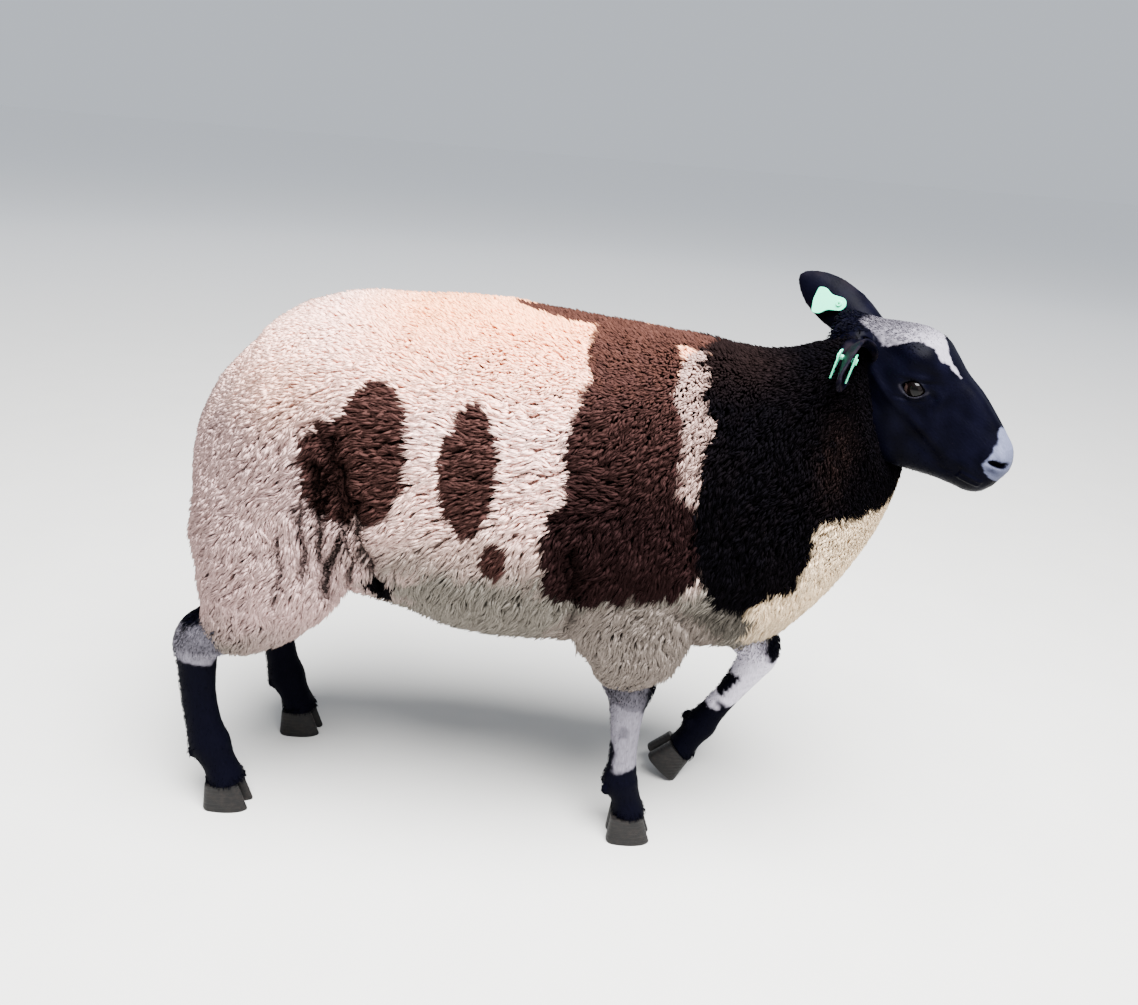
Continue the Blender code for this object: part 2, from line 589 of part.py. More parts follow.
def lower_leg(name, rings, side, swinging, material):
    """The short-haired part of a leg with its dewclaws, down to the coronet."""
    turn = foot_turn(swinging)
    names = list(rings)
    start = names.index(WOOL_ENDS[name.split("_")[1]]) - 1
    kept = [rings[n]._replace(coat=0.0) for n in names[start:]]
    kept[0] = kept[0]._replace(depth=kept[1].depth, width=kept[1].width)
    sections = leg_sections(refine(kept, LOWER_STEPS), side, turn @ Vector((0, 0, -1)))
    limb = loft(name + "_lower", sections, material)
    fetlock = leg_middle(rings["fetlock"], side)
    places = [fetlock + turn @ mirrored(DEWCLAW_AT, out) for out in (RIGHT, LEFT)]
    boolean(limb, "UNION", [ball("dewclaw", place, DEWCLAW, turn, 6, 5) for place in places])
    point, run = wool_edge(name, rings, side)
    return boolean(limb, "DIFFERENCE", [half_space("above", point + run * GAP / 2, -run, 0.3)])


def claw_outline(height):
    """The outline of one claw at a height, wide at the heel and pointed at the toe, as along and across."""
    up = height / CLAW_TALL
    heel = CLAW_HEEL + HEEL_LEAN * up
    length = CLAW_TOE - TOE_LEAN * up - heel
    half = CLAW_WIDTH / 2 * (1 - CLAW_TAPER * up)
    return [(heel + along * length, across * half) for along, across in CLAW_OUTLINE]


def claw(name, rings, side, out, swinging, material):
    """One claw. Its inner side is the straighter one, and it stands on its flat sole."""
    coronet = leg_middle(rings["coronet"], side)
    turn = foot_turn(swinging)
    drop = rings["coronet"].z if not swinging else CLAW_TALL + GAP
    sections = []
    for level in CLAW_LEVELS:
        tuck = SOLE_TUCK if level == 0.0 else 1.0
        sections.append([
            coronet + turn @ Vector((along * tuck, out * CLAW_OUT - out * across, level - drop))
            for along, across in claw_outline(level)
        ])
    return loft(name, sections, material)


def head_matrix():
    return Matrix.Translation(POLL) @ (
        Matrix.Rotation(HEAD_YAW, 4, "Z") @ Matrix.Rotation(HEAD_PITCH, 4, "Y")
    )


def head_section(ring, grow=0.0):
    """The points round one ring of the head, a smooth closed curve through its eight corners."""
    half = [(0, ring.top + grow), (ring.brow_w + grow, ring.brow_z + grow), (ring.side_w + grow, ring.side_z),
            (ring.jaw_w + grow, ring.jaw_z - grow), (0, ring.low - grow)]
    corners = [Vector(p) for p in half] + [Vector((-y, z)) for y, z in half[3:0:-1]]
    count, each = len(corners), HEAD_SIDES // len(corners)
    points = []
    for i in range(count):
        four = [corners[(i + j) % count] for j in (-1, 0, 1, 2)]
        for k in range(each):
            y, z = smooth_between(*four, k / each)
            points.append(Vector((ring.x, y, z)))
    return points


def head_form(grow=0.0):
    rings = refine(HEAD.values(), HEAD_STEPS)
    return loft("head", [head_section(ring, grow) for ring in rings])


def ear_bases(grow=0.0):
    """The low swell of the head under each ear."""
    size = Vector.Fill(3, EAR_BASE_RADIUS + grow)
    return [ball("ear base", mirrored(EAR_ROOT, side), size) for side in SIDES.values()]


def head_room():
    """The space that the head takes in the neck, a gap larger all round."""
    room = boolean(head_form(GAP), "UNION", ear_bases(GAP))
    point = HEAD_CUT_AT - HEAD_CUT_ACROSS.normalized() * GAP
    boolean(room, "DIFFERENCE", [half_space("behind", point, -HEAD_CUT_ACROSS)])
    room.data.transform(head_matrix())
    return room


def head_half_width(x, z):
    """How far out the head's side is at this place, from its rings."""
    rings = refine(HEAD.values(), 6)
    ring = min(rings, key=lambda r: abs(r.x - x))
    return max(p.y for p in head_section(ring) if abs(p.z - z) < 0.010)


def mirrored(vector, side):
    return Vector((vector.x, vector.y * side, vector.z))


def almond(side):
    """The cutter that opens the lids: a prism with an almond outline, pointing out of the head."""
    sections = []
    slant = Matrix.Rotation(LID_SLANT, 2)
    for out, size in LID_CUT:
        ring = []
        for k in range(LID_SIDES):
            turn = 2 * math.pi * k / LID_SIDES
            along = math.cos(turn) * LID_LENGTH / 2 * size
            up = math.sin(turn) * LID_HEIGHT / 2 * size * (1 - LID_POINTS * math.cos(turn) ** 2)
            along, up = slant @ Vector((along, up))
            ring.append(mirrored(EYE_AT + Vector((along, out, up)), side))
        sections.append(ring)
    return loft("almond", sections)


def mouth_slot():
    """The thin cutter that parts the lips, across the whole muzzle."""
    half, up = MOUTH_HALF_WIDTH, MOUTH_GAP / 2
    corners = [(-half, -up), (half, -up), (half, up), (-half, up)]
    return loft("mouth slot", [[Vector((point.x, y, point.y + z)) for y, z in corners] for point in MOUTH])


def lip(side, above):
    """A low roll of the lip along the line of the mouth, half sunk in the muzzle."""
    sections = []
    for point in MOUTH[1:]:
        z = point.y + above * LIP_RADIUS * LIP_RAISED
        out = head_half_width(point.x, z) - LIP_RADIUS * LIP_SUNK
        middle = Vector((point.x, side * out, z))
        sections.append([
            middle + Vector((0, math.cos(turn), math.sin(turn))) * LIP_RADIUS
            for turn in (2 * math.pi * k / LIP_SIDES for k in range(LIP_SIDES))
        ])
    return loft("lip", sections)


def make_head(materials):
    head = head_form()
    rolls = [lip(side, above) for side in (RIGHT, LEFT) for above in (1, -1)]
    rolls += [
        ball("lid ball", mirrored(EYE_AT, side), Vector.Fill(3, EYE_RADIUS + LID_THICK))
        for side in (RIGHT, LEFT)
    ]
    boolean(head, "UNION", rolls + ear_bases())
    cutters = [mouth_slot()]
    for side in (RIGHT, LEFT):
        cutters.append(almond(side))
        cutters.append(ball("socket", mirrored(EYE_AT, side), Vector.Fill(3, EYE_RADIUS + GAP)))
        slant = Matrix.Rotation(NOSTRIL_SLANT, 3, "Y") @ Matrix.Rotation(-side * NOSTRIL_FLARE, 3, "Z")
        cutters.append(ball("nostril", mirrored(NOSTRIL_AT, side), NOSTRIL_HALF, slant, 10, 6))
    cutters.append(half_space("behind", HEAD_CUT_AT, -HEAD_CUT_ACROSS))
    boolean(head, "DIFFERENCE", cutters)
    keep_largest(head)
    head.name = "head"
    head.data.materials.append(materials["short hair"])
    return head


def make_eye(name, side, materials):
    eye = ball(name, mirrored(EYE_AT, side), Vector.Fill(3, EYE_RADIUS))
    eye.data.materials.append(materials["eye"])
    return eye


def ear_axes(side_name):
    along = EAR_WAY[side_name].normalized()
    opens = EAR_OPENS[side_name]
    opens = (opens - along * opens.dot(along)).normalized()
    return along, opens, along.cross(opens)


def ear_point(side_name, station, across):
    """A point of the ear's middle surface. across runs from -1 to 1 between its edges."""
    along, opens, wide = ear_axes(side_name)
    root = mirrored(EAR_ROOT, SIDES[side_name])
    roll = math.radians(station.roll)
    radius = station.width / roll
    turn = across * roll / 2
    middle = root + along * (EAR_LENGTH * station.along) - opens * EAR_HEEL * (1 - station.along)
    return middle + wide * radius * math.sin(turn) + opens * radius * (1 - math.cos(turn))


def ear_station(along):
    """The ear's station at this share of its length."""
    fine = refine(EAR, 6)
    return min(fine, key=lambda station: abs(station.along - along))


def ear_room(side_name):
    """The space that an ear and its cup take, a little larger, for the wool to leave clear."""
    room = EAR_THICK / 2 + EAR_CLEAR
    _, opens, _ = ear_axes(side_name)
    sections = []
    for station in EAR:
        points = [ear_point(side_name, station, -1 + 2 * k / EAR_ACROSS) for k in range(EAR_ACROSS + 1)]
        middle = sum(points, Vector()) / len(points)
        ring = [p + (p - middle).normalized() * room for p in points]
        ring.append((points[0] + points[-1]) / 2 + opens * room)
        sections.append(ring)
    solid = loft("ear room", sections)
    solid.data.transform(head_matrix())
    return solid


def make_ear(side_name, materials):
    """A leaf rolled into a cup at its root: an open sheet in triangles, given its thickness."""
    bm = bmesh.new()
    rows = [
        [bm.verts.new(ear_point(side_name, station, -1 + 2 * k / EAR_ACROSS)) for k in range(EAR_ACROSS + 1)]
        for station in EAR
    ]
    along, opens, _ = ear_axes(side_name)
    tip = bm.verts.new(mirrored(EAR_ROOT, SIDES[side_name]) + along * EAR_LENGTH + opens * EAR_TIP_CURL)
    for row, after in zip(rows, rows[1:]):
        for k in range(EAR_ACROSS):
            bm.faces.new((row[k], row[k + 1], after[k + 1], after[k]))
    for k in range(EAR_ACROSS):
        bm.faces.new((rows[-1][k], rows[-1][k + 1], tip))
    bmesh.ops.triangulate(bm, faces=bm.faces)
    bmesh.ops.recalc_face_normals(bm, faces=bm.faces)
    ear = new_object("ear_" + side_name, bm, materials["short hair"])
    sheet = ear.modifiers.new("thickness", "SOLIDIFY")
    sheet.thickness = EAR_THICK
    sheet.offset = 0.0
    freeze(ear)
    boolean(ear, "DIFFERENCE", [head_form(GAP), *ear_bases(GAP)])
    return keep_largest(ear)


def tag_plate(name, place):
    """The plate of a tag in its own plane: a round end about the stud, and a flag that flares from it."""
    outline = [
        (-math.cos(turn) * TAG_ROUND, math.sin(turn) * TAG_ROUND)
        for turn in (math.pi * (k / TAG_ROUND_STEPS - 0.5) for k in range(TAG_ROUND_STEPS + 1))
    ]
    outline += [*TAG_FLARE, (TAG_NOTCH, 0.0), *[(along, -across) for along, across in TAG_FLARE[::-1]]]
    sections = [[place @ Vector((*point, z)) for point in outline] for z in (0.0, TAG_THICK)]
    return loft(name, sections)


def tag(side_name, face, materials):
    """One half of an ear tag: its plate hangs off its stud, on the inner or the outer face of the ear."""
    station = ear_station(TAG_ALONG)
    middle = ear_point(side_name, station, 0.0)
    along, opens, wide = ear_axes(side_name)
    out = opens if face == "inner" else -opens
    hang = TAG_HANGS[side_name + " " + face]
    down = (hang - out * hang.dot(out)).normalized()
    turn = Matrix((down, out.cross(down), out)).transposed()
    name = "tag_{}_{}".format(side_name, face)
    base, off = EAR_THICK / 2 + GAP, TAG_OFF[face]
    if face == "inner":
        base += TAG_STUD * math.sin(math.radians(station.roll) / EAR_ACROSS)
    place = Matrix.Translation(middle + out * off) @ turn.to_4x4()
    plate = tag_plate(name, place)
    bm = bmesh.new()
    length = off - base + TAG_THICK / 2
    bmesh.ops.create_cone(
        bm, cap_ends=True, segments=TAG_STUD_SIDES, radius1=TAG_STUD, radius2=TAG_STUD, depth=length)
    bm.transform(Matrix.Translation(middle + out * (base + length / 2)) @ turn.to_4x4())
    stud = new_object("stud", bm)
    bm = bmesh.new()
    bmesh.ops.create_cone(
        bm, cap_ends=True, segments=TAG_STUD_SIDES, radius1=TAG_BOSS, radius2=TAG_BOSS * TAG_BOSS_TAPER,
        depth=TAG_BOSS_TALL)
    bm.transform(Matrix.Translation(middle + out * (off + TAG_THICK / 2 + TAG_BOSS_TALL / 2)) @ turn.to_4x4())
    boss = new_object("boss", bm)
    boolean(plate, "UNION", [stud, boss])
    plate.data.materials.append(materials["tag plastic"])
    return plate


def groove(inset=0.0):
    """The space behind the rump that the tail lies in, smaller by an inset ahead and at its sides."""
    half = GROOVE_HALF - inset
    return box("groove", (-1.0, -half, GROOVE_LOW), (GROOVE_X - inset, half, GROOVE_TOP))


def make_tail(material, draw):
    """The woolly tail, hanging close against the buttocks, with a row of clumps down its back."""
    rings = refine(TAIL, 2)
    inset = TAIL_COAT * (1 - CORE_FILLS)
    sections = []
    for ring in rings:
        back, half = max(0.002, ring.back - inset), max(0.006, ring.half_width - inset)
        sections.append([
            Vector((TAIL_ROOT_X + TAIL_SUNK - (back + TAIL_SUNK) * (0.5 - 0.5 * math.cos(turn)),
                    half * math.sin(turn), ring.z))
            for turn in (2 * math.pi * k / TAIL_SIDES for k in range(TAIL_SIDES))
        ])
    tail = loft("tail", sections)
    tufts = []
    for k in range(TAIL_ROWS):
        level = TAIL_ROW_FROM + (TAIL_ROW_TO - TAIL_ROW_FROM) * k / (TAIL_ROWS - 1)
        ring = min(rings, key=lambda r: abs(r.z - level))
        for side in (RIGHT, LEFT):
            out = Vector((-1.0, side * TAIL_CLUMPS_OUT, 0.0)).normalized()
            off = side * ring.half_width * TAIL_CLUMPS_OUT
            tip = Vector((TAIL_ROOT_X - ring.back * TAIL_CLUMPS_BACK, off, ring.z + side * TAIL_STAGGER))
            tufts.append(clump(tip, out, TAIL_COAT, TAIL_CLUMP_SIZE, draw))
    boolean(tail, "UNION", tufts)
    boolean(tail, "INTERSECT", [groove(GAP)])
    tail.data.materials.append(material)
    return keep_largest(tail)


def leg_block(name, side, grow):
    """The box that parts a leg from the torso."""
    cut = LEG_BOXES[name]
    across = sorted((side * (cut.near - grow), side * (cut.out + grow)))
    low = (cut.back - grow, across[0], BELOW_GROUND)
    return box("block", low, (cut.front + grow, across[1], cut.top + grow))


def make_body(materials):
    """Trunk, neck and upper legs as one woolly solid, parted by thin cuts, with the lower legs and tail."""
    draw = random.Random(CLUMP_SEED)
    hind_left = {name: ring._replace(x=ring.x + LEFT_HIND_AHEAD) for name, ring in HIND_LEG.items()}
    limbs = {
        "leg_fore_right": (FORE_LEG, RIGHT, False),
        "leg_fore_left": (SWINGING_LEG, LEFT, True),
        "leg_hind_right": (HIND_LEG, RIGHT, False),
        "leg_hind_left": (hind_left, LEFT, False),
    }
    whole = trunk_and_neck(CORE_FILLS)
    whole.name = "torso"
    pieces = body_clumps(limbs, draw)
    for name, (rings, side, _) in limbs.items():
        pieces.append(upper_leg(name + "_upper", rings, side))
        pieces += leg_clumps(rings, FORE_ROWS if "fore" in name else HIND_ROWS, side, draw)
    boolean(whole, "UNION", pieces)
    nodes = {}
    for name, (rings, side, swinging) in limbs.items():
        limb = copy_of(whole, name + "_upper")
        boolean(limb, "INTERSECT", [leg_block(name, side, -GAP / 2)])
        point, run = wool_edge(name, rings, side)
        boolean(limb, "DIFFERENCE", [half_space("below", point - run * GAP / 2, run, 0.5), groove()])
        nodes[limb.name] = keep_largest(limb)
        limb = lower_leg(name, rings, side, swinging, materials["short hair"])
        nodes[limb.name] = keep_largest(limb)
        for claw_name, out in (("inner", -side), ("outer", side)):
            hoof = claw(
                name.replace("leg", "claw") + "_" + claw_name, rings, side, out, swinging,
                materials["horn of the claws"])
            if swinging:
                boolean(hoof, "DIFFERENCE", [box("ground", (-1, -1, -1), (1, 1, 0))])
            nodes[hoof.name] = hoof
    across = NECK_CUT_ACROSS.normalized()
    neck = copy_of(whole, "neck")
    cutters = [half_space("behind", NECK_CUT_AT + across * GAP / 2, -across), head_room()]
    cutters += [ear_room(side_name) for side_name in SIDES]
    blocks = [leg_block(name, side, GAP / 2) for name, (_, side, _) in limbs.items()]
    cutters += [copy_of(block, "block") for block in blocks]
    nodes["neck"] = keep_largest(boolean(neck, "DIFFERENCE", cutters))
    blocks.append(half_space("ahead", NECK_CUT_AT - across * GAP / 2, across))
    blocks.append(groove())
    nodes["torso"] = keep_largest(boolean(whole, "DIFFERENCE", blocks))
    nodes["tail"] = make_tail(materials["fleece"], draw)
    for name, node in nodes.items():
        if not node.data.materials:
            node.data.materials.append(materials["fleece"])
    return nodes


def main():
    clear_scene()
    materials = make_materials()
    nodes = make_body(materials)
    parts = {"head": make_head(materials)}
    for side_name, side in SIDES.items():
        parts["eye_" + side_name] = make_eye("eye_" + side_name, side, materials)
        parts["ear_" + side_name] = make_ear(side_name, materials)
        for face in ("inner", "outer"):
            made = tag(side_name, face, materials)
            parts[made.name] = made
    skull = bpy.data.objects.new("head frame", None)
    bpy.context.scene.collection.objects.link(skull)
    skull.matrix_world = head_matrix()
    for part in parts.values():
        part.parent = skull
    stand = bpy.data.objects.new("sheep", None)
    bpy.context.scene.collection.objects.link(stand)
    skull.parent = stand
    for node in nodes.values():
        node.parent = stand
    stand.location = -BOX_MIDDLE
    for node in (*nodes.values(), *parts.values()):
        node.data.shade_smooth()


if __name__ == "__main__":
    main()
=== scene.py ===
"""A still, life-size Dutch spotted sheep, dressed over its packed solids: skin, fleece, short hair, eyes,
claws and ear tags, on a plain floor in soft light.

Metres, +Z up. The sheep faces +X and its left side is +Y. Trunk, neck, legs and head are lofts through
nearly the same named rings as the solids, made fine and fused into one skin. Wool and hair are solid
tapered locks. Skin and coat take their markings from the same functions of place.
"""

import math
from collections import namedtuple

import bmesh
import bpy
import numpy as np
from bpy.props import FloatProperty, FloatVectorProperty, PointerProperty
from mathutils import Matrix, Vector
from mathutils.bvhtree import BVHTree
from mathutils.kdtree import KDTree


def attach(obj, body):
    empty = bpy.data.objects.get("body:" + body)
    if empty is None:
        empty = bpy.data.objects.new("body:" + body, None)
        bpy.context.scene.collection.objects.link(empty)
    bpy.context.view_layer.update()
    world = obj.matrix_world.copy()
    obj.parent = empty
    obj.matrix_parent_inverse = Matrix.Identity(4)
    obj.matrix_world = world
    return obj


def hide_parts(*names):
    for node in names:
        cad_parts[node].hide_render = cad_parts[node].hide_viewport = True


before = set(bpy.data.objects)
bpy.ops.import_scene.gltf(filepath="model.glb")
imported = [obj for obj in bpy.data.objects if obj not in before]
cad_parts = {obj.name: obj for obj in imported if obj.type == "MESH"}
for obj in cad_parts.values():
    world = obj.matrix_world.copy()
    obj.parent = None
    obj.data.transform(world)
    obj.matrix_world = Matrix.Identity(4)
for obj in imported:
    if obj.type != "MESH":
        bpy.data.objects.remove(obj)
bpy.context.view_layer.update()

bl_info = {
    "name": "Spotted sheep",
    "version": (1, 0, 0),
    "blender": (4, 5, 0),
    "location": "3D View > Sidebar > Sheep",
    "description": "Dresses a still spotted sheep in skin, fleece, hair, eyes, claws and tags",
    "category": "Object",
}

RIGHT, LEFT = -1.0, 1.0
SIDES = {"right": RIGHT, "left": LEFT}
# Where the middle of the sheep's box lies in the axes of the rings below.
BOX_MIDDLE = Vector((0.0042, -0.0010, 0.0))
# How much of the coat's depth the skin fills, as the smooth core of the solids does.
CORE_FILLS = 0.5

BodyRing = namedtuple("BodyRing", "top_x top_z low_x low_z y half_width yaw coat")
BODY = {
    "tail head": BodyRing(-0.516, 0.596, -0.518, 0.420, 0.0, 0.080, 0, 0.036),
    "pin bones": BodyRing(-0.490, 0.646, -0.500, 0.385, 0.0, 0.122, 0, 0.042),
    "buttock": BodyRing(-0.450, 0.690, -0.458, 0.366, 0.0, 0.156, 0, 0.044),
    "croup": BodyRing(-0.400, 0.737, -0.400, 0.358, 0.0, 0.186, 0, 0.044),
    "hips": BodyRing(-0.320, 0.768, -0.320, 0.352, 0.0, 0.197, 0, 0.044),
    "flank": BodyRing(-0.230, 0.774, -0.230, 0.334, 0.0, 0.204, 0, 0.044),
    "paunch": BodyRing(-0.120, 0.778, -0.120, 0.304, 0.0, 0.213, 0, 0.042),
    "girth": BodyRing(0.000, 0.766, 0.000, 0.302, 0.0, 0.208, 0, 0.044),
    "withers": BodyRing(0.090, 0.758, 0.090, 0.306, 0.0, 0.196, 0, 0.044),
    "shoulder": BodyRing(0.165, 0.752, 0.190, 0.304, 0.0, 0.184, -3, 0.044),
    "brisket": BodyRing(0.225, 0.742, 0.306, 0.318, -0.004, 0.166, -8, 0.044),
    "neck base": BodyRing(0.268, 0.746, 0.388, 0.400, -0.014, 0.144, -15, 0.038),
    "mid neck": BodyRing(0.305, 0.760, 0.430, 0.482, -0.030, 0.120, -23, 0.030),
    "throat": BodyRing(0.334, 0.775, 0.438, 0.544, -0.046, 0.098, -30, 0.024),
    "nape": BodyRing(0.356, 0.786, 0.432, 0.584, -0.062, 0.082, -34, 0.020),
}
BODY_STEPS, BODY_SIDES = 4, 72
BACK_NARROWING, FULLNESS = 0.10, 0.90

LegRing = namedtuple("LegRing", "x z depth width out coat")
FORE_LEG = {
    "upper arm": LegRing(0.100, 0.440, 0.098, 0.062, 0.118, 0.040),
    "elbow": LegRing(0.102, 0.375, 0.090, 0.060, 0.118, 0.038),
    "forearm": LegRing(0.107, 0.318, 0.074, 0.054, 0.112, 0.034),
    "above knee": LegRing(0.106, 0.285, 0.056, 0.045, 0.106, 0.024),
    "knee top": LegRing(0.109, 0.266, 0.036, 0.031, 0.102, 0.008),
    "knee": LegRing(0.111, 0.246, 0.031, 0.028, 0.100, 0.000),
    "below knee": LegRing(0.110, 0.220, 0.025, 0.022, 0.100, 0.000),
    "cannon": LegRing(0.111, 0.165, 0.0200, 0.0180, 0.100, 0.000),
    "lower cannon": LegRing(0.112, 0.122, 0.0215, 0.0195, 0.100, 0.000),
    "fetlock": LegRing(0.112, 0.098, 0.026, 0.024, 0.100, 0.000),
    "pastern": LegRing(0.122, 0.070, 0.0215, 0.022, 0.100, 0.000),
    "coronet": LegRing(0.129, 0.0445, 0.0245, 0.0265, 0.100, 0.000),
}
HIND_LEG = {
    "hip": LegRing(-0.375, 0.560, 0.105, 0.060, 0.100, 0.040),
    "thigh": LegRing(-0.388, 0.480, 0.118, 0.072, 0.113, 0.040),
    "stifle": LegRing(-0.399, 0.410, 0.114, 0.071, 0.116, 0.038),
    "gaskin": LegRing(-0.424, 0.355, 0.091, 0.063, 0.114, 0.034),
    "lower gaskin": LegRing(-0.455, 0.312, 0.062, 0.050, 0.110, 0.026),
    "hock top": LegRing(-0.493, 0.285, 0.036, 0.034, 0.107, 0.014),
    "hock": LegRing(-0.509, 0.262, 0.031, 0.028, 0.105, 0.004),
    "below hock": LegRing(-0.511, 0.232, 0.027, 0.023, 0.105, 0.000),
    "cannon": LegRing(-0.511, 0.185, 0.0245, 0.0205, 0.105, 0.000),
    "lower cannon": LegRing(-0.505, 0.135, 0.0255, 0.0215, 0.105, 0.000),
    "fetlock": LegRing(-0.498, 0.104, 0.030, 0.0255, 0.105, 0.000),
    "pastern": LegRing(-0.486, 0.073, 0.0240, 0.0235, 0.105, 0.000),
    "coronet": LegRing(-0.476, 0.0445, 0.0265, 0.0285, 0.105, 0.000),
}
# The left foreleg swings forward with its knee bent, and only its toes are on the ground.
SWINGING_LEG = {
    "upper arm": LegRing(0.150, 0.450, 0.085, 0.060, 0.105, 0.040),
    "elbow": LegRing(0.185, 0.385, 0.080, 0.058, 0.100, 0.038),
    "forearm": LegRing(0.235, 0.327, 0.066, 0.050, 0.090, 0.034),
    "above knee": LegRing(0.283, 0.288, 0.047, 0.040, 0.076, 0.024),
    "knee top": LegRing(0.312, 0.264, 0.035, 0.031, 0.070, 0.008),
    "knee": LegRing(0.322, 0.239, 0.031, 0.028, 0.066, 0.000),
    "below knee": LegRing(0.311, 0.213, 0.026, 0.022, 0.065, 0.000),
    "cannon": LegRing(0.284, 0.165, 0.0205, 0.0180, 0.065, 0.000),
    "lower cannon": LegRing(0.260, 0.127, 0.0215, 0.0195, 0.065, 0.000),
    "fetlock": LegRing(0.246, 0.103, 0.026, 0.024, 0.065, 0.000),
    "pastern": LegRing(0.231, 0.077, 0.0215, 0.022, 0.065, 0.000),
    "coronet": LegRing(0.218, 0.0535, 0.0245, 0.0265, 0.065, 0.000),
}
LEFT_HIND_AHEAD = 0.052
LIMBS = {
    "leg_fore_right": (FORE_LEG, RIGHT, False),
    "leg_fore_left": (SWINGING_LEG, LEFT, True),
    "leg_hind_right": (HIND_LEG, RIGHT, False),
    "leg_hind_left": ({n: r._replace(x=r.x + LEFT_HIND_AHEAD) for n, r in HIND_LEG.items()}, LEFT, False),
}
WOOL_ENDS = {"fore": "knee top", "hind": "hock top"}
# How many rings of the wool's skin reach on from there.
WOOL_RUNS_ON = {"fore": 2, "hind": 1}
LEG_STEPS, LEG_SIDES = 5, 32
# How much the last ring of a leg's wool, and the first of its short hair, draw in.
WOOL_END_DRAWN, HAIR_START_DRAWN = 0.8, 0.9
SWINGING_FOOT_TURN = math.radians(45.0)
CLAW_HEEL, CLAW_TOE, CLAW_WIDTH, CLAW_OUT = -0.030, 0.036, 0.0250, 0.0137
CLAW_TALL, TOE_LEAN, HEEL_LEAN, CLAW_TAPER, SOLE_TUCK = 0.0442, 0.0150, 0.0040, 0.06, 0.93
CLAW_OUTLINE = [
    (0.0, 0.45), (0.0, -0.45), (0.12, -0.92), (0.45, -1.0), (0.72, -0.82), (0.90, -0.48), (1.0, 0.05),
    (0.92, 0.42), (0.72, 0.70), (0.45, 0.86), (0.12, 0.80),
]
DEWCLAW, DEWCLAW_AT = Vector((0.008, 0.006, 0.010)), Vector((-0.0205, 0.012, -0.010))

TailRing = namedtuple("TailRing", "z back half_width")
TAIL_ROOT_X, TAIL_SUNK, TAIL_COAT = -0.5205, 0.050, 0.018
TAIL_STEPS, TAIL_SIDES, TAIL_LEAST_BACK, TAIL_LEAST_HALF = 4, 24, 0.002, 0.006
TAIL = [
    TailRing(0.592, 0.002, 0.022), TailRing(0.566, 0.008, 0.034), TailRing(0.520, 0.015, 0.040),
    TailRing(0.460, 0.021, 0.042), TailRing(0.400, 0.023, 0.038), TailRing(0.350, 0.018, 0.028),
    TailRing(0.322, 0.006, 0.012),
]

# The head is laid out along its own axis, from the poll to the nose, and then turned and tipped.
POLL = Vector((0.380, -0.035, 0.788))
HEAD_YAW, HEAD_PITCH = math.radians(-34.0), math.radians(32.7)
HeadRing = namedtuple("HeadRing", "x top brow_w brow_z side_w side_z jaw_w jaw_z low")
HEAD = {
    "nape": HeadRing(-0.060, -0.022, 0.030, -0.030, 0.045, -0.070, 0.032, -0.118, -0.138),
    "poll": HeadRing(-0.012, 0.000, 0.032, -0.008, 0.047, -0.055, 0.036, -0.128, -0.150),
    "crown": HeadRing(0.020, 0.021, 0.035, 0.012, 0.049, -0.044, 0.037, -0.126, -0.150),
    "temple": HeadRing(0.050, 0.039, 0.040, 0.028, 0.050, -0.040, 0.038, -0.126, -0.151),
    "brow": HeadRing(0.078, 0.046, 0.045, 0.031, 0.050, -0.038, 0.038, -0.120, -0.145),
    "eye": HeadRing(0.100, 0.042, 0.040, 0.027, 0.047, -0.036, 0.036, -0.113, -0.138),
    "face": HeadRing(0.128, 0.034, 0.027, 0.023, 0.040, -0.034, 0.032, -0.103, -0.126),
    "bridge": HeadRing(0.160, 0.029, 0.020, 0.021, 0.033, -0.031, 0.027, -0.088, -0.109),
    "muzzle": HeadRing(0.190, 0.021, 0.017, 0.014, 0.029, -0.028, 0.024, -0.074, -0.092),
    "nose": HeadRing(0.215, 0.013, 0.017, 0.006, 0.029, -0.026, 0.023, -0.063, -0.081),
    "nostrils": HeadRing(0.233, 0.006, 0.016, -0.001, 0.027, -0.025, 0.021, -0.057, -0.074),
    "lips": HeadRing(0.245, -0.006, 0.012, -0.011, 0.021, -0.028, 0.016, -0.051, -0.063),
    "tip": HeadRing(0.251, -0.019, 0.006, -0.021, 0.010, -0.031, 0.007, -0.042, -0.046),
}
HEAD_STEPS, HEAD_SIDES, HEAD_SMOOTHS = 8, 96, 2
HEAD_CUT_AT, HEAD_CUT_ACROSS = Vector((-0.012, 0.0, -0.060)), Vector((0.855, 0.0, 0.519))
# How finely the rings are set where only a place on them is looked up, and how near in height it has to be.
LOOK_STEPS, LOOK_NEAR = 6, 0.004

EYE_AT, EYE_RADIUS, SOCKET_CLEAR = Vector((0.0995, 0.0360, -0.0115)), 0.0150, 0.0004
LID_THICK, LID_LENGTH, LID_HEIGHT, LID_SLANT = 0.0030, 0.0305, 0.0195, math.radians(25.0)
LID_CUT, LID_POINTS, LID_SIDES = ((0.004, 0.86), (0.022, 1.14)), 0.30, 40
NOSTRIL_AT, NOSTRIL_HALF = Vector((0.2370, 0.0190, -0.0145)), Vector((0.0160, 0.0075, 0.0044))
NOSTRIL_SLANT, NOSTRIL_FLARE = math.radians(-28.0), math.radians(38.0)
MOUTH = [Vector((0.258, -0.045)), Vector((0.240, -0.0475)), Vector((0.226, -0.052)), Vector((0.213, -0.055))]
MOUTH_GAP, MOUTH_HALF_WIDTH = 0.0016, 0.04
LIP_RADIUS, LIP_RAISED, LIP_SUNK, LIP_SIDES = 0.0034, 0.90, 0.55, 16

